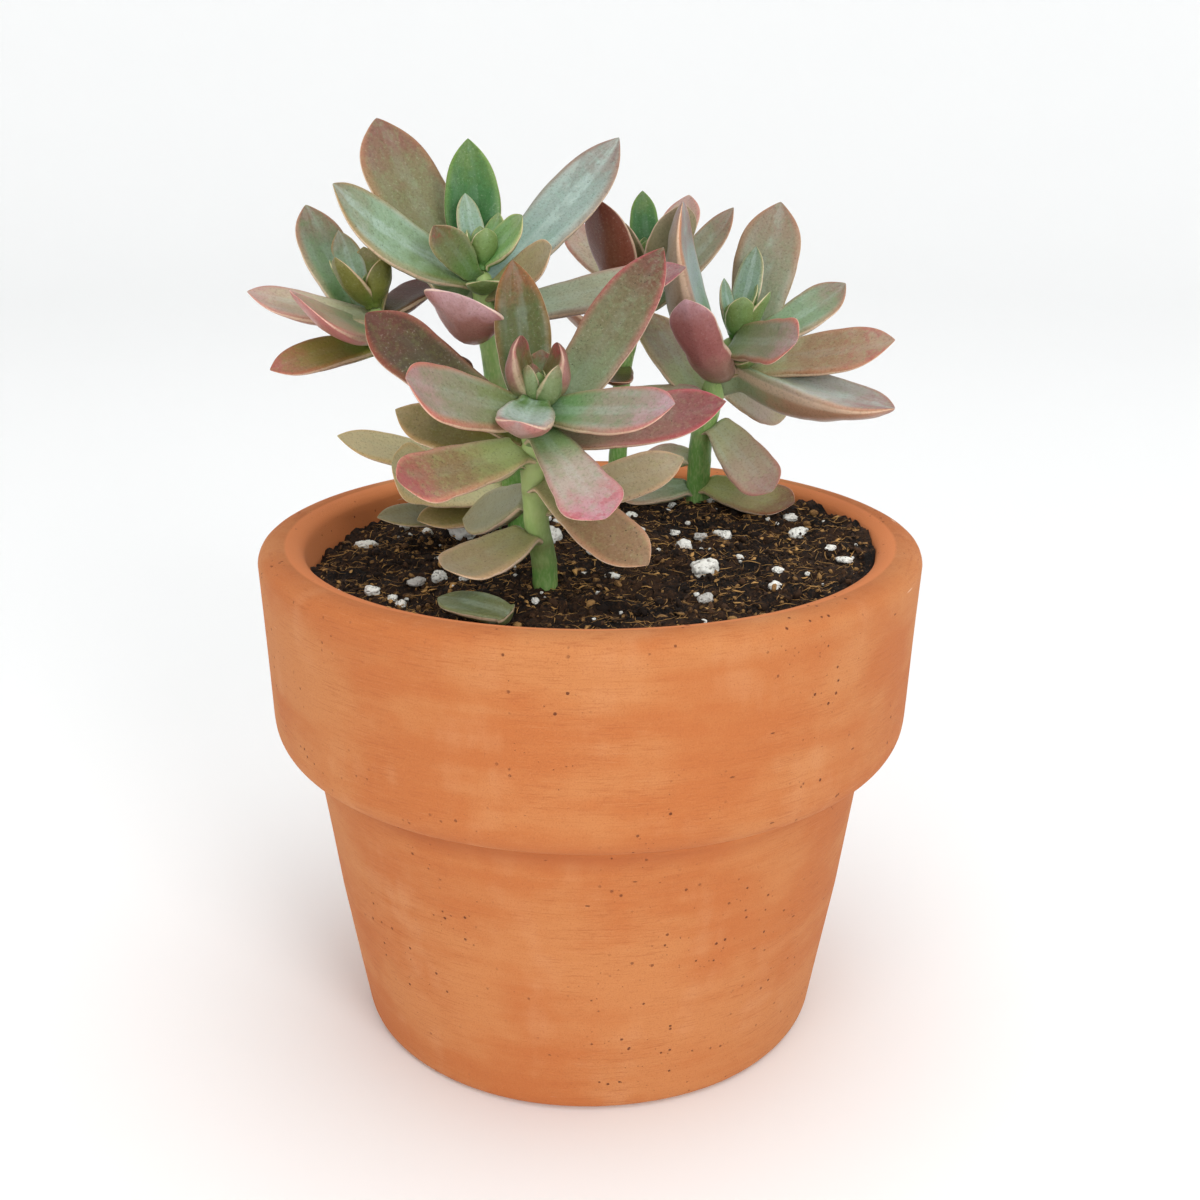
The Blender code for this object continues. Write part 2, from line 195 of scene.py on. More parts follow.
def addPiece(name, points, faces, materials, replaced=(), marks=None, faceMaterial=None):
    # a shaded mesh in the row frame, riding on the part's one body; points are in mm
    mesh = bpy.data.meshes.new(name)
    mesh.from_pydata((np.asarray(points, float) * mm).tolist(), [], [list(map(int, f)) for f in faces])
    for markName, values in (marks or {}).items():
        layer = mesh.attributes.new(markName, "FLOAT", "POINT")
        layer.data.foreach_set("value", np.asarray(values, np.float32))
    for material in materials:
        mesh.materials.append(material)
    if faceMaterial is not None:
        mesh.polygons.foreach_set("material_index", np.asarray(faceMaterial, np.int32))
    outward(mesh)
    piece = bpy.data.objects.new(name, mesh)
    bpy.context.scene.collection.objects.link(piece)
    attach(piece, "root")
    if replaced:
        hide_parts(*replaced)


def ringFaces(rings, around, start=0):
    # quads between rings of points that follow one another
    faces = []
    for r in range(rings - 1):
        for k in range(around):
            a, b = start + r * around + k, start + r * around + (k + 1) % around
            faces.append((a, b, b + around, a + around))
    return faces


# ---- pot

pot = {
    "around": 240,
    "clay": tint(194, 124, 71), "clayRed": tint(186, 107, 54), "clayPale": tint(202, 138, 90),
    # the inner wall's colour is redder, and set lighter than the outside as painted light against the shade
    # in the pot
    "inside": tint(216, 130, 76), "pore": tint(96, 38, 12), "scratch": tint(232, 198, 170),
    # a dark clay colour, used for turning lines and grain, and as the painted shade under the collar
    "crease": tint(164, 88, 44),
    # the inner wall near the rim, how much it draws in per mm down, and the band of painted shade under the
    # collar (mm)
    "mouthRadius": 47.6, "mouthHeight": 84, "draft": 0.16, "creaseHeight": 49.6, "creaseReach": 3.2,
}


def potProfile(node):
    # the turned outline (radius, height) in order, from the CAD pot's edges in one half plane
    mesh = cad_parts[node].data
    flat = {}
    for v in mesh.vertices:
        if v.co.x > 0 and abs(v.co.y) < 1e-6:
            flat[v.index] = (round(v.co.x * 1000, 2), round(v.co.z * 1000, 2))
    links = {}
    for e in mesh.edges:
        a, b = (flat.get(i) for i in e.vertices)
        if a and b and a != b:
            links.setdefault(a, set()).add(b)
            links.setdefault(b, set()).add(a)
    outline = [max(links, key=lambda p: (p[0], p[1]))]
    seen = set(outline)
    while True:
        onward = sorted((p for p in links[outline[-1]] if p not in seen),
                        key=lambda p: math.dist(p, outline[-1]))
        if not onward:
            return outline
        outline.append(onward[0])
        seen.add(onward[0])


def roundedOutline(outline, step=1.1):
    # more points on the outline: short sides turn smoothly, long ones stay straight
    points = np.array(outline)
    count = len(points)
    fine = []
    for i in range(count):
        before, a, b, after = (points[(i + k) % count] for k in (-1, 0, 1, 2))
        length = np.linalg.norm(b - a)
        if length > 8:
            ease = min(2.0, length / 4) / length
            straight = np.linspace(ease, 1 - ease, max(3, int(length / step)))[1:]
            shares = np.concatenate([[0, ease / 2, ease], straight, [1 - ease / 2]])
            fine += [a + (b - a) * s for s in shares]
        else:
            parts = max(2, int(length / 0.45))
            startPull = (b - before) * 0.5 * min(1, length / max(np.linalg.norm(a - before), 1e-6))
            endPull = (after - a) * 0.5 * min(1, length / max(np.linalg.norm(after - b), 1e-6))
            for k in range(parts):
                s = k / parts
                fine.append(a + s * (startPull + s * (3 * (b - a) - 2 * startPull - endPull
                                                      + s * (2 * (a - b) + startPull + endPull))))
    return np.array(fine)


def clayFinish():
    clay = Finish("terracotta", Roughness=0.86, IOR=1.45)
    spot = clay.place()
    patches = clay.clouds(clay.place(1, 1, 1.5), 0.035, 4, 0.6)
    bands = clay.clouds(clay.place(0.10, 0.10, 1.0), 0.22, 3, 0.55)
    lines = clay.clouds(clay.place(0.05, 0.05, 1.0), 4.6, 3, 0.7)
    grain = clay.clouds(spot, 4.4, 4, 0.75)
    smudge = clay.clouds(clay.place(1.6, 1.6, 0.7), 0.06, 3, 0.6)
    colour = clay.blend(clay.ease(patches * 0.75 + bands * 0.25, 0.40, 0.58), pot["clayRed"], pot["clay"])
    colour = clay.blend(clay.ease(smudge + (bands - 0.5) * 0.4, 0.52, 0.76) * 0.5, colour, pot["clayPale"])
    colour = clay.blend(clay.ease(bands, 0.50, 0.30) * 0.25, colour, pot["clayRed"])
    # fine turning lines, plainer in some places
    plain = clay.ease(clay.clouds(spot, 0.045, 2), 0.40, 0.62)
    colour = clay.blend(clay.ease(lines, 0.47, 0.33) * (0.14 + plain * 0.34), colour, pot["crease"])
    colour = clay.blend(clay.ease(lines, 0.56, 0.72) * (0.10 + plain * 0.20), colour, pot["clayPale"])
    colour = clay.blend(clay.ease(grain, 0.50, 0.32) * 0.50, colour, pot["crease"])
    colour = clay.blend(clay.ease(grain, 0.54, 0.72) * 0.32, colour, pot["clayPale"])
    # the inner wall is redder, and set lighter as painted light against the shade in the pot; painted shade
    # darkens the wall under the collar
    colour = clay.blend(clay.mark("inner") * 0.8, colour, pot["inside"])
    colour = clay.blend(clay.mark("crease") * clay.ease(bands, 0.26, 0.55) * 0.75, colour, pot["crease"])
    # open pores, thicker in some places, and a few dry pale scuffs
    many = clay.ease(clay.clouds(spot, 0.06, 1), 0.44, 0.62)
    pores = clay.dots(spot, 0.62, 0.17, 0.46) * many
    tiny = clay.dots(spot, 1.5, 0.17, 0.14) * many
    slits = clay.dots(clay.place(0.45, 0.45, 1.4), 0.34, 0.075, 0.10)
    scuffs = clay.ease(clay.clouds(clay.place(0.13, 0.13, 1.8), 0.75, 1), 0.80, 0.84)
    colour = clay.blend(scuffs * 0.6, colour, pot["scratch"])
    holes = clay.maths("MAXIMUM", clay.maths("MAXIMUM", pores, tiny * 0.7), slits * 0.8)
    colour = clay.blend(holes * 0.85, colour, pot["pore"])
    rough = 0.80 + grain * 0.14
    height = lines * (0.3 + plain * 0.4) + grain * 0.8 + bands * 0.6 - holes * 2.4
    return clay.wear(colour, rough, height, 0.10)


def makePot():
    outline = roundedOutline(potProfile("terracotta_pot"))
    around = pot["around"]
    turn = np.linspace(0, math.tau, around, endpoint=False)
    points, inner, crease = [], [], []
    for r, z in outline:
        spots = [Vector((math.cos(a) * 1.6, math.sin(a) * 1.6, z * 0.045)) for a in turn]
        hand = np.array([noise.noise(spot) for spot in spots])
        radius = r + 0.16 * hand * min(1, r / 30)   # a pressed pot is never quite round
        points.append(np.stack([radius * np.cos(turn), radius * np.sin(turn), np.full(around, z)], 1))
        above = z - pot["mouthHeight"]
        depth = pot["mouthRadius"] + above * pot["draft"] - r
        inner.append(np.full(around, 1.0 if (z > 8 and depth > -1.6 - (above > 0) * 1.2) else 0.0))
        # painted shade: a band under the collar, darkest at its middle
        shade = max(0.0, 1 - abs(z - pot["creaseHeight"]) / pot["creaseReach"])
        crease.append(np.full(around, shade if 30 < r < 50.5 and z < 52.2 else 0.0))
    rings = len(outline)
    faces = ringFaces(rings, around)
    last = (rings - 1) * around
    faces += [(last + k, last + (k + 1) % around, (k + 1) % around, k) for k in range(around)]
    marks = {"inner": np.concatenate(inner), "crease": np.concatenate(crease)}
    points = np.concatenate(points)
    addPiece("clay_pot", points, [f[::-1] for f in faces], [clayFinish()],
             ["terracotta_pot"], marks)
    print("pot:", len(points), "points")


# ---- soil

soil = {
    "rings": 120, "around": 320,
    "dark": tint(18, 13, 11), "brown": tint(66, 45, 29), "rust": tint(132, 92, 52),
    "crumbs": 1000, "fines": 4600, "fibres": 3600, "flakes": 420,
    "crumbDark": tint(34, 24, 18), "crumbBrown": tint(80, 56, 37), "crumbGold": tint(168, 128, 78),
    "fibreDark": tint(58, 38, 22), "fibreGold": tint(196, 150, 88),
    # the darkest stone colour is for the dark specks and for the painted shade in the grains' pits
    "stone": tint(240, 240, 232), "stoneGrey": tint(178, 174, 168), "stoneSpeckAndShade": tint(58, 50, 42),
    # perlite: scattered lumps, a few of them grey, and small grains between
    "lumps": 30, "greyLumps": 6, "looseGrains": 88, "lumpLeast": 1.9, "lumpSpread": 3.8,
    # how near the rim lumps lie, the least gap between two, and their height as a share of their width
    "lumpReach": 0.93, "lumpGap": 0.6, "lumpHeight": (0.45, 0.85),
    # where the bed meets the pot low down, and how far out fibres reach
    "floorReach": 34.6, "fibreReach": 46.2,
}


def soilSurface():
    # height of the soil at a place, bridging the holes that the stems stand in
    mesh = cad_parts["potting_soil"].data
    tree = BVHTree.FromPolygons([v.co * 1000 for v in mesh.vertices], [p.vertices[:] for p in mesh.polygons])
    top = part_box("potting_soil")[1].z * 1000
    rim = corners("potting_soil")
    rim = rim[(rim[:, 2] > top - 6) & (np.hypot(rim[:, 0], rim[:, 1]) > 45)]
    turns = np.arctan2(rim[:, 1], rim[:, 0])
    order = np.argsort(turns)
    turns, reach = turns[order], np.hypot(rim[:, 0], rim[:, 1])[order]

    def cast(x, y):
        hit = tree.ray_cast(Vector((x, y, top + 5)), Vector((0, 0, -1)))[0]
        return hit.z if hit and hit.z > top - 7 else None

    def height(x, y):
        found = [cast(x, y)]
        if found[0] is None:
            found = [cast(x + 3.4 * math.cos(a), y + 3.4 * math.sin(a)) for a in (0.3, 1.9, 3.5, 5.1)]
        found = [z for z in found if z is not None]
        return sum(found) / len(found) if found else top - 2

    def edge(turn):
        return np.interp(turn, turns, reach, period=math.tau)

    return height, edge


def clumps(x, y):
    # relief of the loose surface
    spot = Vector((x, y, 3.7))
    lumps = noise.fractal(spot * 0.16, 1.0, 2.0, 3)
    small = noise.fractal(spot * 0.55 + Vector((9, 4, 1)), 0.9, 2.1, 4)
    cracks = abs(noise.noise(spot * 0.42 + Vector((2, 7, 5))))
    return 0.75 * lumps + 0.74 * small - 0.6 * max(0.0, 0.16 - cracks) / 0.16


def soilFinish(name, dark, brown, bright, brightShare):
    earth = Finish(name, Roughness=0.95, Specular_IOR_Level=0.25)
    spot = earth.place()
    patches = earth.clouds(spot, 0.14, 3, 0.6)
    grain = earth.clouds(spot, 1.3, 4, 0.75)
    threads = earth.clouds(earth.place(1, 0.35, 1), 2.2, 2, 0.6)
    colour = earth.blend(earth.ease(patches * 0.5 + grain * 0.5, 0.42, 0.62), dark, brown)
    colour = earth.blend(earth.ease(threads, 0.60, 0.74) * brightShare, colour, bright)
    colour = earth.blend(earth.ease(grain, 0.46, 0.32) * 0.8, colour, dark)
    return earth.wear(colour, 0.86 + grain * 0.12, grain * 1.0 + threads * 0.5, 0.5)


def pebble(turns):
    # corners and faces of a round grain, to be scaled and roughened
    ball = bmesh.new()
    bmesh.ops.create_icosphere(ball, subdivisions=turns, radius=1.0)
    ball.verts.ensure_lookup_table()
    points = np.array([v.co for v in ball.verts])
    faces = np.array([[v.index for v in f.verts] for f in ball.faces])
    ball.free()
    return points, faces


def spin(points):
    # points turned at random about the origin
    turn = Quaternion((dice.gauss(0, 1), dice.gauss(0, 1), dice.gauss(0, 1), dice.gauss(0, 1))).normalized()
    return points @ np.array(turn.to_matrix()).T


def scatterSpot(edge, reach=0.985):
    turn = dice.uniform(-math.pi, math.pi)
    radius = edge(turn) * reach * math.sqrt(dice.random())
    return radius * math.cos(turn), radius * math.sin(turn)


def scatterLumps(edge, count, taken):
    # lumps of perlite keep clear of each other, of the stems and of the fallen leaf
    lumps = []
    while len(lumps) < count:
        x, y = scatterSpot(edge, soil["lumpReach"])
        wide = soil["lumpLeast"] + soil["lumpSpread"] * dice.random() ** 1.8
        if all(math.hypot(x - a, y - b) > (wide + across) / 2 + soil["lumpGap"] for a, b, across in taken):
            taken.append((x, y, wide))
            lumps.append((x, y, wide, wide * dice.uniform(*soil["lumpHeight"])))
    return lumps


def makeBed(height, edge):
    rings, around = soil["rings"], soil["around"]
    turn = np.linspace(-math.pi, math.pi, around, endpoint=False)
    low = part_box("potting_soil")[0].z * 1000
    points = [(0, 0, height(0, 0) + clumps(0, 0))]
    for r in range(1, rings + 1):
        for a in turn:
            radius = (edge(a) + 0.25) * (r / rings)
            x, y = radius * math.cos(a), radius * math.sin(a)
            inside = min(radius, edge(a) - 0.8)
            z = height(inside * math.cos(a), inside * math.sin(a)) + clumps(x, y)
            points.append((x, y, z))
    # down the pot's inner wall and across its floor
    for share, z in ((0.15, None), (0.5, None), (0.9, low + 4), (1.0, low + 0.6), (0.96, low)):
        for k, a in enumerate(turn):
            outer = points[1 + (rings - 1) * around + k]
            level = z if z is not None else outer[2] + (low + 4 - outer[2]) * share
            fall = (outer[2] - level) / (outer[2] - low)
            radius = math.hypot(outer[0], outer[1]) * (1 - fall) + soil["floorReach"] * fall
            points.append((radius * math.cos(a), radius * math.sin(a), level))
    faces = [(0, 1 + k, 1 + (k + 1) % around) for k in range(around)]
    faces += ringFaces(rings + 5, around, 1)
    points.append((0, 0, low))
    bottom = 1 + (rings + 4) * around
    faces += [(bottom + (k + 1) % around, bottom + k, len(points) - 1) for k in range(around)]
    ground = soilFinish("soil_ground", soil["dark"], soil["brown"], soil["rust"], 0.5)
    addPiece("soil_bed", points, faces, [ground], ["potting_soil"])


def makeCrumbs(level, edge):
    # crumbs of peat, and many fine grains among them
    points, faces, tone, start = [], [], [], 0
    for count, (shape, sides), smallest, largest in ((soil["crumbs"], pebble(2), 0.25, 0.50),
                                                     (soil["fines"], pebble(1), 0.13, 0.30)):
        for _ in range(count):
            x, y = scatterSpot(edge)
            size = smallest + largest * dice.random() ** 2.6
            spread = np.array([dice.uniform(0.7, 1.6), dice.uniform(0.7, 1.3), dice.uniform(0.5, 0.9)])
            rough = 1 + 0.5 * np.array([noise.noise(Vector(p) * 2.1 + Vector((x, y, 0))) for p in shape])
            lump = spin(shape * rough[:, None] * spread * size)
            points.append(lump + np.array([x, y, level(x, y) + size * 0.3]))
            faces.append(sides + start)
            tone += [dice.random()] * len(shape)
            start += len(shape)
    crumb = Finish("soil_crumb", Roughness=0.9, Specular_IOR_Level=0.25)
    speckle = crumb.clouds(crumb.place(), 2.2, 4, 0.75)
    shade = crumb.mark("tone") + (speckle - 0.5) * 0.7
    colour = crumb.blend(crumb.ease(shade, 0.30, 0.78), soil["crumbDark"], soil["crumbBrown"])
    colour = crumb.blend(crumb.ease(shade, 0.74, 1.00), colour, soil["crumbGold"])
    crumb.wear(colour, 0.84 + speckle * 0.14, speckle, 0.3)
    addPiece("soil_crumbs", np.concatenate(points), np.concatenate(faces), [crumb.material],
             marks={"tone": tone})


def makeFibres(level, edge):
    # fibres and flat flakes of coir
    points, faces, tone = [], [], []
    for number in range(soil["fibres"] + soil["flakes"]):
        x, y = scatterSpot(edge, 0.97)
        flake = number >= soil["fibres"]
        length = dice.uniform(0.8, 2.0) if flake else 0.7 + 3.6 * dice.random() ** 1.8
        wide = dice.uniform(0.22, 0.50) if flake else dice.uniform(0.03, 0.085)
        thick = 0.10 if flake else wide * dice.uniform(0.5, 1.0)
        turn = dice.uniform(0, math.tau)
        curl, rise = dice.gauss(0, 0.5), dice.uniform(-0.15, 0.45)
        base = level(x, y)
        steps, start, glow = 5, len(points), dice.random()
        for s in range(steps):
            t = s / (steps - 1) - 0.5
            bearing = turn + curl * t
            px, py = x + length * t * math.cos(bearing), y + length * t * math.sin(bearing)
            share = min(1, soil["fibreReach"] / max(math.hypot(px, py), 1e-6))
            px, py = px * share, py * share
            pz = 0.5 * base + 0.5 * level(px, py) + 0.25 + rise * length * abs(t) * 0.5
            taper = 1 - 0.75 * abs(2 * t) ** 2
            side = np.array([-math.sin(bearing), math.cos(bearing), dice.uniform(-0.3, 0.3)]) * wide * taper
            lift = np.array([0, 0, thick * taper])
            middle = np.array([px, py, pz])
            points += [middle + side, middle + lift, middle - side, middle - lift]
            tone += [glow] * 4
        faces += ringFaces(steps, 4, start)
        last = start + 4 * (steps - 1)
        faces += [(start + 3, start + 2, start + 1, start), (last, last + 1, last + 2, last + 3)]
    fibre = Finish("soil_fibre", Roughness=0.8, Specular_IOR_Level=0.3)
    streak = fibre.clouds(fibre.place(), 1.6, 3, 0.6)
    glow = fibre.mark("glow")
    shade = fibre.ease(glow + (streak - 0.5) * 0.5, 0.25, 0.90)
    colour = fibre.blend(shade, soil["fibreDark"], soil["fibreGold"])
    fibre.wear(colour, 0.7 + streak * 0.2, streak, 0.05)
    addPiece("soil_fibres", points, faces, [fibre.material], marks={"glow": tone})


def makePerlite(level, edge):
    points, faces, grey, pits = [], [], [], []
    taken = []
    for name in stem["names"]:
        x, y, _, radius = centreLine(name + "_stem")[0]
        taken.append((x, y, 2 * radius))
    start, end = (corner * 1000 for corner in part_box("fallen_leaf"))
    taken.append(((start.x + end.x) / 2, (start.y + end.y) / 2, end.x - start.x))
    lumps = scatterLumps(edge, soil["lumps"], taken)
    greyLumps = scatterLumps(edge, soil["greyLumps"], taken)
    loose = []
    while len(loose) < soil["looseGrains"]:
        x, y = scatterSpot(edge, 0.96)
        size = 0.5 + 1.5 * dice.random() ** 2.2
        loose.append((x, y, size, size * dice.uniform(0.7, 1)))
    shape, sides = pebble(4)
    start = 0
    for kind, grains in enumerate((lumps + loose, greyLumps)):
        for x, y, wide, tall in grains:
            seed = Vector((x * 3.1, y * 1.7, wide))
            rough = []
            for p in shape:
                spot = Vector(p)
                lump = noise.noise(spot * 1.2 + seed) * 0.36 + noise.noise(spot * 2.8 + seed) * 0.20
                pit = max(0.0, noise.noise(spot * 3.9 + seed * 2) - 0.12) * 1.5
                rough.append(1 + lump - pit * 0.32 + noise.noise(spot * 8 + seed) * 0.07)
                pits.append(pit)
            grain = shape * np.array(rough)[:, None] * np.array([wide, (wide + tall) / 2, tall]) / 2
            swing = dice.uniform(-0.6, 0.6)
            c, s = math.cos(swing), math.sin(swing)
            grain = grain @ np.array([[c, -s, 0], [s, c, 0], [0, 0, 1]]).T
            points.append(grain + np.array([x, y, level(x, y) + tall * 0.18]))
            faces.append(sides + start)
            start += len(shape)
            grey += [float(kind)] * len(shape)
    stone = Finish("perlite", Roughness=0.85)
    spot = stone.place()
    speck = stone.dots(spot, 1.7, 0.22, 0.40)
    cloud = stone.clouds(spot, 1.3, 4, 0.65)
    colour = stone.blend(stone.mark("grey") * 0.75, soil["stone"], soil["stoneGrey"])
    colour = stone.blend(stone.ease(cloud, 0.50, 0.34) * 0.6, colour, soil["stoneGrey"])
    # painted shade: the pits in each grain are darkened, together with the real dark specks
    pit = stone.ease(stone.mark("pit") + (0.5 - cloud) * 0.5, 0.20, 0.50)
    speckAndPitShade = stone.maths("MAXIMUM", speck * 0.8, pit)
    colour = stone.blend(speckAndPitShade * 0.65, colour, soil["stoneSpeckAndShade"])
    stone.wear(colour, 0.8, cloud * 1.0 - speck * 1.2, 0.25)
    addPiece("perlite_grains", np.concatenate(points), np.concatenate(faces), [stone.material],
             marks={"grey": grey, "pit": pits})
    return len(lumps + loose + greyLumps)


def makeSoil():
    height, edge = soilSurface()

    def level(x, y):
        return height(x, y) + clumps(x, y)

    makeBed(height, edge)
    makeCrumbs(level, edge)
    makeFibres(level, edge)
    print("soil: bed, crumbs, fibres and", makePerlite(level, edge), "grains")


# ---- stems

stem = {
    "steps": 90, "around": 28,
    "fresh": tint(172, 192, 122), "deep": tint(102, 150, 70), "pale": tint(176, 196, 132),
    "scar": tint(136, 140, 88), "fleck": tint(70, 84, 44),
    # how fresh stems get towards the top, the front one most, and where old leaves left their rings
    "ripe": 0.68, "ripeFront": 1.2, "rings": [0.34, 0.44, 0.55, 0.66, 0.76, 0.86, 0.94],
    "names": ["front", "middle", "left", "right", "rear"],
}


def centreLine(node):
    # middle and radius of a stem at rising heights, read from its corners
    found = corners(node)
    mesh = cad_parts[node].data
    low, high = found[:, 2].min(), found[:, 2].max()
    spots = np.array([v.co for v in mesh.vertices], float) * 1000
    pairs = np.array([e.vertices[:] for e in mesh.edges])
    a, b = spots[pairs[:, 0]], spots[pairs[:, 1]]
    lines = []
    for z in np.linspace(low + 0.4, high - 0.9, 15):
        cross = (a[:, 2] - z) * (b[:, 2] - z) < 0
        share = ((z - a[cross, 2]) / (b[cross, 2] - a[cross, 2]))[:, None]
        hit = a[cross] + (b[cross] - a[cross]) * share
        middle = (hit.min(0) + hit.max(0)) / 2
        lines.append((*middle, np.linalg.norm(hit - middle, axis=1).min()))
    return np.array(lines)


stemLines = {}


def stemFinish():
    skin = Finish("stem_skin", Roughness=0.42, Subsurface_Weight=0.25, Subsurface_Scale=0.0015)
    skin.shader.inputs["Subsurface Radius"].default_value = (0.6, 1.0, 0.3)
    spot = skin.place()
    cloud = skin.clouds(spot, 0.35, 3, 0.6)
    fine = skin.clouds(skin.place(1, 1, 0.25), 3.0, 2, 0.6)
    up = skin.mark("along")
    colour = skin.blend(skin.ease(up + (cloud - 0.5) * 0.5, 0.2, 0.9), stem["deep"], stem["fresh"])
    colour = skin.blend(skin.ease(fine + cloud * 0.4, 0.60, 0.90) * 0.4, colour, stem["pale"])
    colour = skin.blend(skin.mark("scar") * 0.6, colour, stem["scar"])
    colour = skin.blend(skin.dots(spot, 0.8, 0.10, 0.15) * 0.5, colour, stem["fleck"])
    return skin.wear(colour, 0.36 + cloud * 0.16, fine * 0.3 + cloud, 0.03)


def makeStems():
    skin = stemFinish()
    steps, around = stem["steps"], stem["around"]
    for number, name in enumerate(stem["names"]):
        line = centreLine(name + "_stem")
        stemLines[name] = line
        t = np.linspace(0, 1, steps)
        ripe = stem["ripeFront"] if name == "front" else stem["ripe"]
        read = smoothRead(t, np.linspace(0, 1, len(line)), line)
        middle, radius = read[:, :3], line[:, 3].max() * (1.0 - 0.10 * t)
        onward = unit(np.gradient(middle, axis=0))
        points, along, scar = [], [], []
        for i in range(steps):
            swell = sum(math.exp(-((t[i] - n - 0.02 * math.sin(number + 9 * n)) / 0.012) ** 2)
                        for n in stem["rings"])
            side = unit(np.cross(onward[i], (0, 1, 0)))
            front = np.cross(side, onward[i])
            close = 1 - max(0.0, (t[i] - 0.965) / 0.035) ** 2 * 0.75
            for k in range(around):
                a = math.tau * k / around
                bump = noise.noise(Vector((math.cos(a), math.sin(a), t[i] * 6 + number * 7))) * 0.025
                reach = radius[i] * (1.03 + 0.035 * swell + bump) * close
                points.append(middle[i] + side * math.cos(a) * reach + front * math.sin(a) * reach)
                along.append(t[i] * ripe)
                scar.append(swell * max(0.0, math.cos(a + number + 20 * t[i])))
        faces = ringFaces(steps, around)
        points += [middle[0], middle[-1] + onward[-1] * 0.3]
        along += [0, 1]
        scar += [0, 0]
        top = (steps - 1) * around
        faces += [((k + 1) % around, k, len(points) - 2) for k in range(around)]
        faces += [(top + k, top + (k + 1) % around, len(points) - 1) for k in range(around)]
        addPiece(name + "_stalk", points, faces, [skin], [name + "_stem"],
                 {"along": along, "scar": np.clip(scar, 0, 1)})
    print("stems:", len(stem["names"]))


# ---- leaves

leaf = {"rows": 44, "around": 36, "plump": 1.12}
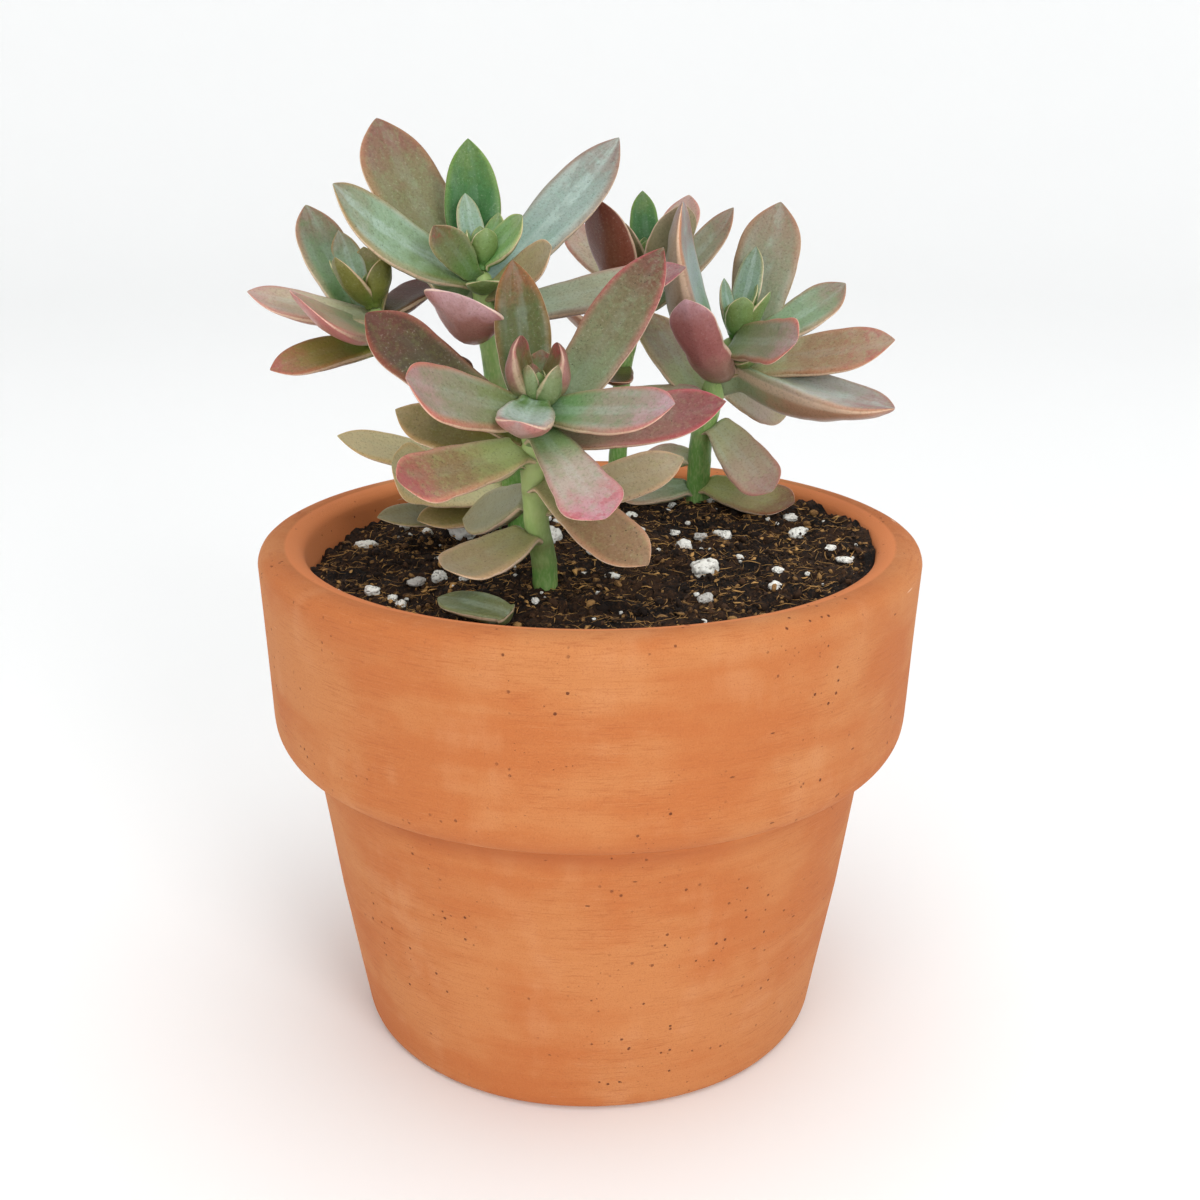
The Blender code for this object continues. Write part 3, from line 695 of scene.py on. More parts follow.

# how leaves look: colours at the base, middle and tip, of the edge and of the underside, then bloom (the
# powdery film, with a painted highlight down its middle), specks (dark dots), line (how strong the coloured
# edge is), and where they differ from the usual: blush (deeper pink patches near the tip) and rim (how
# strong the painted highlight along the rim is)
lookKeys = ("base", "middle", "tip", "edge", "under", "bloom", "specks", "line", "blush", "rim")
usual = {"blush": 0.0, "rim": 0.62}
looks = {
    "oliveBlush": ((67, 95, 45), (79, 83, 41), (119, 76, 41), (153, 101, 56), (115, 88, 50), 0.26, 0.4,
                   0.7),
    "bronzeRose": ((117, 134, 97), (105, 100, 70), (105, 60, 47), (179, 77, 84), (141, 69, 68), 0.1, 1.0,
                   0.7),
    "paleRose": ((96, 131, 82), (139, 131, 112), (183, 140, 148), (192, 103, 92), (169, 88, 78), 0.45, 0.3,
                 0.8),
    "deepRose": ((146, 132, 102), (138, 98, 86), (138, 68, 72), (188, 66, 80), (160, 66, 72), 0.1, 1.0,
                 0.6),
    "lilacRose": ((112, 138, 87), (162, 147, 133), (179, 113, 125), (198, 113, 117), (181, 92, 103), 0.35,
                  0.3, 0.6, 0.8),
    "roseBrown": ((158, 172, 110), (142, 122, 86), (168, 98, 94), (214, 130, 112), (186, 92, 96), 0.12, 0.6,
                  0.7, 0.4),
    "pinkGreen": ((109, 123, 76), (130, 127, 102), (168, 129, 127), (195, 101, 82), (162, 86, 82), 0.3, 0.6,
                  0.9),
    "darkRose": ((92, 97, 46), (63, 51, 22), (87, 44, 29), (154, 76, 56), (116, 64, 46), 0.03, 0.7, 0.7),
    "bronze": ((150, 148, 100), (138, 110, 80), (142, 112, 82), (204, 150, 116), (142, 112, 76), 0.05, 1.2,
               0.7, 0.0, 0.85),
    "greyBrown": ((154, 150, 100), (154, 139, 104), (163, 146, 116), (207, 164, 125), (145, 121, 83), 0.15,
                  0.8, 0.7, 0.0, 0.85),
    "darkOlive": ((115, 116, 52), (115, 104, 52), (160, 141, 94), (195, 157, 106), (127, 114, 60), 0.05,
                  0.6, 0.9, 0.0, 0.85),
    "mintBloom": ((105, 128, 79), (138, 163, 134), (138, 128, 101), (162, 126, 75), (124, 118, 66), 0.85,
                  0.8, 0.9),
    "iceBloom": ((136, 165, 151), (136, 153, 144), (132, 117, 109), (148, 104, 83), (118, 124, 83), 0.95,
                 0.5, 0.8),
    "vividGreen": ((64, 117, 65), (47, 99, 41), (88, 117, 52), (125, 155, 75), (88, 126, 57), 0.15, 0.0,
                   0.7),
    "oliveTall": ((128, 147, 101), (121, 117, 81), (128, 86, 71), (172, 115, 79), (126, 107, 74), 0.15, 0.2,
                  0.6),
    "young": ((94, 142, 69), (114, 149, 90), (127, 146, 93), (175, 180, 120), (111, 134, 72), 0.35, 0.2,
              1.0),
    "youngBlue": ((113, 147, 99), (134, 160, 141), (132, 149, 124), (172, 164, 114), (117, 139, 95), 0.9,
                  0.2, 0.8),
    "youngRose": ((122, 136, 88), (104, 92, 54), (124, 62, 56), (196, 150, 136), (160, 112, 104), 0.1, 0.4,
                  0.6, 1.0, 0.3),
    "youngDark": ((98, 128, 70), (108, 118, 74), (122, 92, 68), (180, 168, 124), (120, 136, 94), 0.2, 0.3,
                  0.5, 0.6, 0.4),
    # painted light: the upper face colours are set lighter against the shade they lie in
    "lilacBrown": ((150, 164, 120), (184, 156, 134), (172, 110, 102), (204, 116, 112), (180, 104, 102),
                   0.35, 0.6, 0.8),
    "seaGreen": ((106, 146, 88), (122, 146, 112), (132, 108, 88), (176, 122, 98), (138, 128, 96), 0.5, 0.1,
                 0.8),
    "russet": ((112, 106, 54), (104, 66, 42), (112, 56, 48), (156, 92, 76), (122, 68, 52), 0.0, 0.1, 0.6),
    "sideBlue": ((126, 156, 122), (146, 160, 158), (146, 106, 104), (192, 128, 84), (160, 140, 116), 0.8,
                 0.2, 1.0),
    # painted light: set lighter than the leaf's own colour against the shade it lies in
    "sage": ((172, 180, 114), (172, 164, 116), (140, 92, 72), (150, 84, 64), (164, 150, 100), 0.15, 0.4,
             0.9, 0.0, 0.85),
    "specked": ((166, 178, 128), (156, 142, 118), (146, 116, 84), (212, 190, 150), (160, 140, 108), 0.35,
                1.0, 1.0, 0.0, 0.85),
    "cup": ((88, 118, 66), (150, 164, 154), (166, 138, 134), (194, 142, 132), (188, 124, 118), 0.7, 0.4,
            0.6, 0.5),
    "blushUnder": ((128, 132, 92), (150, 110, 98), (206, 174, 180), (208, 172, 182), (158, 98, 94), 0.5,
                   0.1, 0.6, 0.4),
    "plumUnder": ((160, 126, 110), (150, 96, 92), (206, 172, 182), (216, 180, 190), (160, 96, 92), 0.3, 0.2,
                  0.9, 0.4),
    "darkRed": ((82, 71, 31), (91, 47, 28), (101, 45, 33), (129, 75, 63), (96, 40, 28), 0.0, 0.1, 0.5),
    "palePink": ((176, 178, 138), (174, 156, 132), (178, 140, 130), (192, 112, 104), (176, 126, 104), 0.35,
                 0.2, 0.7),
    "creamGreen": ((184, 176, 146), (182, 164, 148), (172, 162, 124), (190, 150, 128), (176, 160, 128),
                   0.35, 0.2, 0.5),
    "greyGreen": ((126, 145, 110), (138, 137, 112), (141, 114, 95), (172, 120, 93), (134, 128, 93), 0.4,
                  0.2, 0.7),
    "roseTip": ((156, 158, 113), (148, 117, 85), (166, 133, 109), (189, 123, 95), (164, 119, 91), 0.25, 0.3,
                0.7, 0.6),
    # painted light: the underside colour is set lighter against the shade it lies in
    "boat": ((150, 168, 130), (176, 178, 170), (150, 104, 100), (184, 132, 96), (196, 152, 122), 0.8, 0.3,
             1.0),
    "olive": ((102, 122, 54), (104, 110, 46), (122, 110, 60), (182, 140, 70), (112, 114, 54), 0.03, 0.1,
              0.8),
    "redTip": ((124, 136, 58), (130, 118, 60), (156, 82, 68), (176, 108, 84), (138, 92, 64), 0.08, 0.1,
               0.7),
    # painted light: set far paler than the low leaves' own colour, to make up for the shade they lie in
    "cream": ((225, 218, 168), (214, 201, 155), (225, 208, 160), (225, 188, 125), (192, 177, 121), 0.15,
              0.4, 0.8),
    "plumTip": ((150, 164, 138), (148, 150, 122), (150, 92, 98), (180, 104, 106), (146, 90, 86), 0.25, 0.4,
                0.7),
    "greyOld": ((146, 146, 112), (152, 152, 122), (150, 142, 108), (176, 160, 108), (128, 126, 80), 0.15,
                0.8, 0.8, 0.0, 0.85),
    "fallen": ((96, 103, 64), (99, 110, 78), (103, 108, 65), (134, 135, 81), (89, 94, 51), 0.35, 0.5, 0.7),
}

# the look of each leaf, by its number on its stem
choice = {
    "front": ["oliveBlush", "bronzeRose", "paleRose", "deepRose", "lilacRose", "roseBrown", "pinkGreen",
              "darkRose", "cup", "bronze", "greyBrown", "darkOlive", "greyBrown"],
    "middle": ["oliveTall", "mintBloom", "vividGreen", "iceBloom", "youngDark", "greyBrown", "blushUnder",
               "plumTip"],
    "left": ["seaGreen", "olive", "darkRed", "palePink", "lilacBrown", "redTip"],
    "right": ["greyGreen", "sideBlue", "seaGreen", "roseTip", "boat", "pinkGreen", "plumUnder",
              "creamGreen", "specked", "palePink", "sage"],
    "rear": ["russet", "palePink", "greyGreen", "palePink", "greyGreen"],
    "low": ["cream", "cream", "greyOld", "darkOlive"],
}

# where a leaf's flesh differs from its plain shape in the frame: nose rounds its end, heel fills its base,
# curl lifts its tip, start and lean move its base and tip (all mm), wide widens it, plump thickens it,
# and opens turns its upper face to the front (degrees)
shapes = {
    "front_leaf_02": {"nose": 0.3, "curl": 0.0},
    "front_leaf_03": {"nose": 0.35, "curl": 0.5},
    "front_leaf_04": {"nose": 0.15, "curl": 0.3},
    "front_leaf_05": {"nose": 0.6, "curl": 0.4, "wide": 0.94},
    "front_leaf_06": {"nose": 0.75, "curl": 1.2},
    "front_leaf_07": {"nose": 0.4, "curl": 0.8, "wide": 1.2},
    "front_leaf_08": {"nose": 0.45, "curl": 0.2},
    "front_leaf_09": {"nose": 0.7, "curl": 1.0, "plump": 1.6, "lean": (-0.7, -0.3, -0.5)},
    "front_leaf_10": {"nose": 0.4},
    "front_leaf_11": {"nose": 0.6, "curl": 1.0, "wide": 1.1, "lean": (0, 0, 1.0)},
    "middle_leaf_01": {"nose": 0.45, "wide": 1.22},
    "middle_leaf_02": {"lean": (1.3, 0, 0.9), "wide": 1.22, "opens": 14, "nose": 0.25},
    "middle_leaf_04": {"wide": 1.08},
    "middle_leaf_05": {"lean": (-2.1, 0, -3.0), "nose": 0.15},
    "middle_leaf_06": {"lean": (0, 0, -1.3), "wide": 1.2, "opens": 10, "nose": 0.4},
    "middle_leaf_07": {"lean": (3.2, 0, -0.4), "wide": 1.3, "plump": 1.35, "nose": 1.0, "curl": 0.3,
                       "heel": 0.1},
    "middle_leaf_08": {"lean": (0, 0, 1.1), "wide": 1.2, "nose": 0.35},
    "left_leaf_01": {"wide": 1.2, "nose": 0.4},
    "left_leaf_02": {"lean": (-1.7, 0, -3.6)},
    "left_leaf_03": {"lean": (-0.4, 0, -4.6), "wide": 1.1, "nose": 0.5},
    "left_leaf_04": {"lean": (-0.6, 0, 1.0), "wide": 1.25},
    "left_leaf_05": {"lean": (0.5, 0, 1.2), "wide": 1.35, "opens": 26, "nose": 0.45, "curl": 0.5},
    "left_leaf_06": {"lean": (1.6, 0, -0.8), "wide": 1.1, "opens": 24},
    "right_leaf_01": {"nose": 0.35},
    "right_leaf_02": {"nose": 0.75, "opens": 25, "wide": 1.4, "plump": 1.6},
    "right_leaf_03": {"lean": (-1.4, 0, -0.7), "wide": 1.15, "nose": 0.4},
    "right_leaf_04": {"wide": 1.15},
    "right_leaf_05": {"start": (2.4, 0, 2.2), "lean": (1.1, 0, 0.4), "wide": 1.25, "plump": 1.8, "opens": 3,
                      "nose": 0.35},
    "right_leaf_06": {"start": (-2.4, -1.0, 0), "lean": (0.4, 0, -2.0), "wide": 0.95, "opens": 24,
                      "nose": 0.9, "curl": -0.4, "heel": 0.7},
    "right_leaf_07": {"start": (0.4, -1.0, 0.4), "lean": (-0.2, 0, -0.6), "nose": 0.45, "heel": 1.0},
    "right_leaf_08": {"lean": (0, 0, 1.0), "wide": 1.1, "nose": 0.4},
    "right_leaf_09": {"lean": (0.3, 0, -2.4), "wide": 1.2},
    "right_leaf_10": {"lean": (-1.8, 0, 0), "nose": 0.5, "curl": 1.2},
    "right_leaf_11": {"nose": 0.5, "curl": 0.8},
    "rear_leaf_01": {"lean": (1.4, 0, -1.3), "wide": 1.2, "nose": 0.4},
    "rear_leaf_02": {"lean": (1.4, 0, -4.0)},
    "rear_leaf_03": {"lean": (2.3, 0, -1.2), "nose": 0.5},
    "rear_leaf_04": {"lean": (1.1, 0, -2.2), "nose": 0.5},
    "rear_leaf_05": {"lean": (-0.5, 0, 3.4)},
    "low_leaf_01": {"wide": 1.2},
    "low_leaf_02": {"start": (0, 0, -2.0), "lean": (2.0, 0, -5.2), "wide": 1.6, "nose": 1.0, "opens": 10},
    "fallen_leaf": {"nose": 0.5, "curl": 0.0},
}

finishes = {}


def leafFinish(name):
    if name in finishes:
        return finishes[name]
    look = usual | dict(zip(lookKeys, looks[name]))
    look = {key: tint(*value) if isinstance(value, tuple) else value for key, value in look.items()}
    skin = Finish("leaf_" + name, Roughness=0.45, Specular_IOR_Level=0.36,
                  Subsurface_Weight=0.10, Subsurface_Scale=0.0009)
    skin.shader.inputs["Subsurface Radius"].default_value = (1.0, 0.7, 0.35)
    along, face, across = skin.mark("along"), skin.mark("face"), skin.mark("across")
    spot = skin.place()
    cloud = skin.clouds(spot, 0.28, 3, 0.55)
    grain = skin.clouds(spot, 2.4, 4, 0.7)
    drift = along + (cloud - 0.5) * 0.45
    mottle = skin.ease(skin.clouds(spot, 0.9, 4, 0.65), 0.48, 0.64)
    colour = skin.blend(skin.ease(drift, 0.10, 0.52), look["base"], look["middle"])
    colour = skin.blend(skin.ease(drift, 0.58, 0.98), colour, look["tip"])
    colour = skin.blend(mottle * 0.30, colour, look["base"])
    # powdery film, in soft streaks along the upper face, with a painted highlight down the middle
    flow = skin.node("CombineXYZ", {}, {"X": across * 2.6, "Y": along * 1.1, "Z": cloud * 2})
    streak = skin.clouds(flow, 1.0, 2)
    powderAndHighlight = skin.ease(streak + (1 - abs(across)) * 0.22, 0.50, 0.84) * look["bloom"]
    colour = skin.blend(powderAndHighlight * 0.52, colour, tint(182, 202, 194))
    # the upper face warms towards its edge, most of all near the tip
    reach = 0.35 + skin.ease(along, 0.10, 0.95) * 0.65
    warm = skin.ease(abs(across), 0.68, 0.99) * reach * look["line"]
    colour = skin.blend(warm * 0.85, colour, look["edge"])
    patch = skin.ease(skin.clouds(spot, 0.55, 3, 0.6), 0.50, 0.62) * skin.ease(along, 0.55, 0.85)
    colour = skin.blend(patch * (look["blush"] * 0.6), colour, tint(168, 66, 76))
    # the underside is a deeper colour, freshest at the root
    below = skin.ease(face, -0.04, -0.26)
    underside = skin.blend(skin.ease(drift, 0.02, 0.42), look["base"], look["under"])
    underside = skin.blend(skin.ease(face, -0.72, -1.0) * 0.35, underside, look["middle"])
    underside = skin.blend(skin.ease(drift, 0.74, 1.04) * 0.6, underside, look["tip"])
    colour = skin.blend(below * 0.92, colour, underside)
    # painted highlight: a pale line along the rim, where the upper face turns into the underside
    rim = skin.ease(abs(face + 0.02), 0.26, 0.08)
    colour = skin.blend(rim * look["rim"], colour, tint(236, 208, 180))
    # fine mottling, dark specks and grains of dust
    colour = skin.blend(skin.ease(grain, 0.50, 0.30) * 0.42, colour, (0.30, 0.25, 0.20), "MULTIPLY")
    colour = skin.blend(skin.ease(grain, 0.56, 0.74) * 0.16, colour, tint(226, 222, 204))
    thick = skin.ease(skin.clouds(spot, 0.16, 1), 0.36, 0.62)
    specks = skin.dots(spot, 1.35, 0.19, 0.50) * thick * (1 - below * 0.5) * look["specks"]
    colour = skin.blend(skin.maths("MINIMUM", specks * 0.75, 0.9), colour, tint(52, 44, 26))
    dust = skin.dots(spot, 1.7, 0.10, 0.16) * (1 - below)
    colour = skin.blend(dust * (look["specks"] * 0.2), colour, tint(214, 206, 186))
    rough = 0.27 + grain * 0.14 + powderAndHighlight * 0.25
    finishes[name] = skin.wear(colour, rough, grain * 0.8 + cloud * 0.8 - specks, 0.08)
    return finishes[name]


# a CAD leaf has this many rings of this many corners, and a keel this share of its thickness below the middle
blade = {"rings": 9, "corners": 8, "keel": 0.78}


def readLeaf(node):
    # middle line, half width, thickness, side and upper direction along a CAD leaf
    found = corners(node)
    middle = found.mean(0)
    tip = found[np.argmax(np.linalg.norm(found - middle, axis=1))]
    order = np.argsort((found - middle) @ unit(tip - middle))
    rings = found[order[:-1]].reshape(blade["rings"], blade["corners"], 3)
    rows = []
    for ring in rings:
        gaps = np.linalg.norm(ring[:, None] - ring[None], axis=2)
        i, j = np.unravel_index(np.argmax(gaps), gaps.shape)
        centre, side = (ring[i] + ring[j]) / 2, unit(ring[j] - ring[i])
        if rows and side @ rows[-1][3] < 0:
            side = -side
        off = (ring - centre) - ((ring - centre) @ side)[:, None] * side
        keel = off[np.argmax(np.linalg.norm(off, axis=1))]
        rows.append((centre, gaps[i, j] / 2, np.linalg.norm(keel) / blade["keel"], side, -unit(keel)))
    centre, half, deep, side, upper = (np.array(part) for part in zip(*rows))
    if np.cross(tip - centre[0], upper[4]) @ side[4] < 0:
        side = -side
    return {"centre": np.vstack([centre, tip]), "half": np.append(half, 0.0), "deep": np.append(deep, 0.0),
            "side": np.vstack([side, side[-1]]), "upper": np.vstack([upper, upper[-1]])}


def heading(azimuth, rise):
    level, climb = math.radians(azimuth), math.radians(rise)
    return np.array([math.cos(climb) * math.cos(level), math.cos(climb) * math.sin(level), math.sin(climb)])


def planLeaf(base, facing, azimuth, rise, length, width, thick, bend, fullest):
    # the same facts for a leaf that the frame has no node for
    chord = heading(azimuth, rise)
    side = unit(np.cross(chord, facing))
    upper = np.cross(side, chord)
    places = np.array([0, 0.06, 0.18, 0.32, 0.46, 0.60, 0.73, 0.84, 0.93, 1.0])
    curl = np.tan(np.radians(bend * (places - 0.5)))[:, None]
    steps = unit(chord + upper * curl)
    middle = (steps[1:] + steps[:-1]) / 2 * np.diff(places)[:, None] * length
    centre = np.vstack([base, base + np.cumsum(middle, axis=0)])
    rising = 0.42 + 0.58 * np.sin(0.5 * math.pi * np.minimum(places / fullest, 1)) ** 1.2
    falling = 1 - (np.maximum(places - fullest, 0) / (1 - fullest)) ** 2.1
    half = width / 2 * np.where(places < fullest, rising, falling)
    deep = thick * (0.8 + 0.2 * np.sin(math.pi * np.minimum(places * 1.4, 1))) * (1 - places ** 3.2) ** 0.8
    sides = np.tile(side, (10, 1))
    uppers = unit(upper - steps * (steps @ upper)[:, None])
    return {"centre": centre, "half": half, "deep": deep, "side": sides, "upper": uppers}


def shaped(facts, start=(0, 0, 0), lean=(0, 0, 0), wide=1.0, plump=1.0, opens=0.0):
    # the same facts with the base and tip moved, the blade widened, thickened and turned to the front
    centre = facts["centre"]
    reach = np.concatenate([[0], np.cumsum(np.linalg.norm(np.diff(centre, axis=0), axis=1))])
    share = (reach / reach[-1])[:, None]
    chord = unit(centre[-1] - centre[0])
    front = np.array([0, -0.95, 0.31])
    if np.cross(chord, facts["upper"][4]) @ front < 0:
        opens = -opens
    turn = np.array(Quaternion(Vector(chord), math.radians(opens)).to_matrix())
    centre = centre + share ** 1.2 * np.array(lean) + (1 - share) * np.array(start)
    return {"centre": centre, "half": facts["half"] * wide, "deep": facts["deep"] * leaf["plump"] * plump,
            "side": facts["side"] @ turn.T, "upper": facts["upper"] @ turn.T}


def leafMesh(facts, seed, nose=0.3, curl=0.2, heel=0.35, **changes):
    # a closed fleshy leaf: a channel above, a keel below, a thick rim, and a root that reaches into its stem;
    # nose rounds its end, heel fills its base, and curl lifts its tip by that many mm
    facts = shaped(facts, **changes)
    centre, half, deep = facts["centre"], facts["half"].copy(), facts["deep"]
    length = np.linalg.norm(np.diff(centre, axis=0), axis=1).sum()
    places = np.concatenate([[0], np.cumsum(np.linalg.norm(np.diff(centre, axis=0), axis=1))]) / length
    root = nearStem(centre[0])
    gap = np.linalg.norm(root - centre[0])
    places = np.concatenate([[-gap / length], places])
    centre = np.vstack([root, centre])
    half = np.concatenate([[half[0] * 0.74], half])
    deep = np.concatenate([[deep[0] * 0.85], deep])
    side, upper = (np.vstack([facts[k][:1], facts[k]]) for k in ("side", "upper"))
    rows, around = leaf["rows"], leaf["around"]
    s = np.linspace(0, 1, rows)
    t = places[0] + (1 - places[0]) * (1 - (1 - s) ** 1.35)
    t[-1] = 1.0
    middle = smoothRead(t, places, centre)
    half = np.maximum(smoothRead(t, places, half), 0)
    deep = np.maximum(smoothRead(t, places, deep), 0)
    side, upper = unit(smoothRead(t, places, side)), unit(smoothRead(t, places, upper))
    turning = 0.93   # beyond this the sides close in a round end
    halfHere, deepHere = np.interp(turning, t, half), np.interp(turning, t, deep)
    closing = np.clip((1 - t) / (1 - turning), 0, 1)
    fuller = 1 + nose * np.clip((t - 0.62) / (turning - 0.62), 0, 1) ** 1.5
    fuller += heel * np.clip(1 - t / 0.36, 0, 1.25)
    half = np.where(t > turning, halfHere * (1 + nose) * closing ** (1 - 0.45 * nose), half * fuller)
    deep = np.where(t > turning, deepHere * closing ** 0.62, deep)
    middle = middle + upper * (curl * np.clip((t - 0.70) / 0.30, 0, 1) ** 2)[:, None]
    turn = np.linspace(0, math.tau, around, endpoint=False)
    u, f = np.cos(turn), np.sin(turn)
    points, along, across, face = [], [], [], []
    wobble = dice.uniform(0, 9)
    for i in range(rows - 1):
        keelShare = 0.20 + 0.55 * max(0.0, t[i]) ** 1.5
        top = 0.26 * np.sqrt(1 - np.abs(u) ** 7) - 0.20 * (1 - u ** 2)
        bowl = np.sqrt(1 - np.abs(u) ** 2.8)
        under = 0.80 * ((1 - keelShare) * bowl + keelShare * (1 - np.abs(u) ** 1.2)) ** 0.95
        v = np.where(f >= 0, top, -under) * deep[i]
        edge = 1 + 0.025 * np.sin(t[i] * 7 + wobble + u * 2) * np.abs(u)
        w = u * half[i] * edge
        spots = middle[i] + side[i] * w[:, None] + upper[i] * v[:, None]
        lumps = np.array([noise.noise(Vector(p) * 0.33 + Vector((seed, 0, 0))) for p in spots])
        out = np.where(f >= 0, 1.0, -1.0) * np.abs(f) * (0.16 * min(1, half[i] / 2))
        points.append(spots + upper[i] * (lumps * out)[:, None])
        along += [t[i]] * around
        across += list(u)
        face += list(f)
    points.append(middle[-1:])
    along.append(1.0)
    across.append(0.0)
    face.append(0.0)
    faces = ringFaces(rows - 1, around)
    last, tip = (rows - 2) * around, (rows - 1) * around
    faces += [(last + k, last + (k + 1) % around, tip) for k in range(around)]
    points = np.vstack(points)
    heart = len(points)
    points = np.vstack([points, middle[:1]])
    faces += [((k + 1) % around, k, heart) for k in range(around)]
    along.append(t[0])
    across.append(0.0)
    face.append(0.0)
    return points, faces, {"along": along, "across": across, "face": face}


def nearStem(spot):
    # the point inside the nearest stem that a leaf at this spot grows from
    best = None
    for line in stemLines.values():
        inside = line[(line[:, 2] < spot[2] + 1.0)]
        gaps = np.linalg.norm((inside[:, :3] - spot) * (1, 1, 0.7), axis=1)
        if len(gaps) and (best is None or gaps.min() < best[0]):
            best = (gaps.min(), inside[np.argmin(gaps)])
    out = spot[:2] - best[1][:2]
    reach = np.linalg.norm(out)
    side = out / max(reach, 0.1) * min(reach, 0.35 * best[1][3])
    height = min(spot[2] - 0.35 * reach, best[1][2] + 0.6)
    return np.array([best[1][0] + side[0], best[1][1] + side[1], height])


def makeLeaves():
    for group, kinds in choice.items():
        for number, kind in enumerate(kinds, 1):
            node = f"{group}_leaf_{number:02d}"
            points, faces, marks = leafMesh(readLeaf(node), number * 3.7, **shapes.get(node, {}))
            addPiece(node + "_flesh", points, faces, [leafFinish(kind)], [node], marks)
    print("leaves:", sum(map(len, choice.values())))


# ---- young leaves round each growing tip, and leaves too small for the frame

facing = {"front": (-88, 42), "middle": (-90, 50), "left": (-120, 70), "right": (-60, 65), "rear": (90, 85),
          "low": (-90, 60)}

# above the stem's top (mm), azimuth, rise, length, width, thickness, bend, how far it opens, look
hearts = {
    "front": [(1.5, -176, 78, 9.2, 6.0, 3.6, 24, 24, "youngRose"),
              (1.6, 80, 62, 7.0, 5.6, 1.8, 14, 0, "youngDark"),
              (1.6, -4, 70, 8.4, 6.2, 3.6, 30, 24, "youngRose"),
              (1.3, -40, 52, 6.6, 4.0, 2.7, 20, 0, "youngDark"),
              (1.5, -118, 66, 5.4, 2.9, 1.7, 16, 0, "youngDark"),
              (1.9, 120, 74, 4.4, 3.2, 1.5, 8, 0, "youngDark"),
              (2.1, -70, 72, 3.2, 2.4, 1.5, 12, 0, "young"), (2.0, 30, 74, 3.4, 2.4, 1.5, 10, 0, "young")],
    "middle": [(1.6, 122, 66, 11.0, 4.8, 1.9, 6, 0, "youngBlue"),
               (1.5, -12, 46, 9.8, 6.6, 2.3, 10, 48, "young"), (1.7, 48, 60, 8.0, 4.8, 1.9, 8, 0, "young"),
               (1.7, -66, 58, 5.8, 4.6, 2.0, 14, 0, "young"), (1.8, 176, 66, 4.8, 3.4, 1.7, 10, 0, "young"),
               (2.1, 90, 74, 4.8, 3.2, 1.5, 6, 0, "young"), (2.2, -140, 76, 3.4, 2.8, 1.5, 8, 0, "young"),
               (2.0, 10, 70, 4.4, 3.2, 1.6, 8, 0, "young")],
    "left": [(1.4, -128, 44, 10.0, 5.2, 2.2, 14, 0, "olive"), (1.4, 172, 42, 8.8, 4.2, 2.0, 8, 0, "young"),
             (1.6, -52, 60, 7.4, 4.6, 2.0, 10, 0, "olive"), (1.7, 62, 62, 6.8, 4.2, 1.8, 8, 0, "olive"),
             (2.0, -90, 70, 3.8, 3.0, 1.5, 8, 0, "young"), (2.0, 120, 72, 3.6, 2.8, 1.5, 8, 0, "young")],
    "right": [(1.6, 50, 68, 15.0, 6.0, 2.0, 6, 0, "youngBlue"),
              (1.6, -24, 48, 9.0, 4.8, 2.2, 8, 0, "young"),
              (1.6, 128, 72, 9.0, 3.2, 1.8, 4, 0, "youngBlue"),
              (1.5, -80, 52, 7.8, 5.2, 2.4, 12, 0, "young"), (1.9, 10, 64, 8.2, 3.8, 1.8, 6, 0, "young"),
              (2.0, -120, 70, 4.4, 3.4, 1.7, 10, 0, "young"), (2.1, 60, 74, 5.0, 3.2, 1.5, 8, 0, "young")],
    "rear": [(1.5, 100, 66, 13.5, 5.4, 2.0, 6, 0, "vividGreen"),
             (1.5, -150, 58, 8.4, 4.6, 2.0, 10, 0, "greyGreen"),
             (1.5, -20, 60, 8.4, 4.6, 2.0, 8, 0, "young"), (1.8, 20, 66, 7.0, 3.8, 1.8, 8, 0, "young"),
             (2.0, -90, 70, 4.0, 3.2, 1.6, 8, 0, "young"), (2.0, 120, 72, 4.2, 3.0, 1.5, 8, 0, "young")],
}

# more leaves on the stems: stem, height, azimuth, rise, length, width, thickness, bend, look
extras = {
    "back_leaf_front": ("front", 96.0, 132, -24, 17, 8.4, 2.6, 10, "greyOld"),
    "back_leaf_middle_1": ("middle", 124.0, 118, 52, 21, 7.6, 2.6, 8, "palePink"),
    "back_leaf_middle_2": ("middle", 124.0, 48, 46, 27, 7.0, 2.6, 8, "deepRose"),
    "low_leaf_middle_1": ("middle", 126.4, -84, 6, 6.0, 5.6, 2.2, 16, "young"),
    "low_leaf_middle_3": ("middle", 124.6, -20, -4, 7.5, 5.6, 2.2, 12, "young"),
    "back_leaf_left_1": ("left", 121.0, 128, 58, 15, 5.4, 2.4, 6, "mintBloom"),
    "back_leaf_left_2": ("left", 115.0, -20, -12, 12, 6.0, 2.4, 6, "darkRose"),
    "low_leaf_left_1": ("left", 120.0, -70, 2, 5.5, 5.0, 2.2, 14, "olive"),
    "back_leaf_right_1": ("right", 113.5, 28, 18, 14, 5.4, 2.4, 6, "young"),
    "low_leaf_right_1": ("right", 92.0, 150, -4, 9, 7.0, 2.4, 8, "palePink"),
    "low_leaf_right_2": ("right", 86.4, -170, -3, 14, 7.0, 2.6, 8, "greyGreen"),
    "low_leaf_right_3": ("right", 111.5, -62, 2, 6.0, 5.4, 2.2, 14, "young"),
    "low_leaf_right_4": ("right", 110.0, -10, -6, 7.0, 5.4, 2.2, 12, "young"),
    "low_leaf_front_2": ("front", 102.5, -160, -14, 7.5, 5.6, 2.2, 10, "young"),
    "back_leaf_rear_1": ("rear", 114.0, -178, 30, 14, 6.4, 2.4, 8, "palePink"),
    "low_leaf_rear_1": ("rear", 103.5, -30, 4, 15, 6.6, 2.4, 8, "palePink"),
    "low_leaf_rear_2": ("rear", 108.5, -100, -6, 11, 6.4, 2.4, 8, "darkRose"),
}


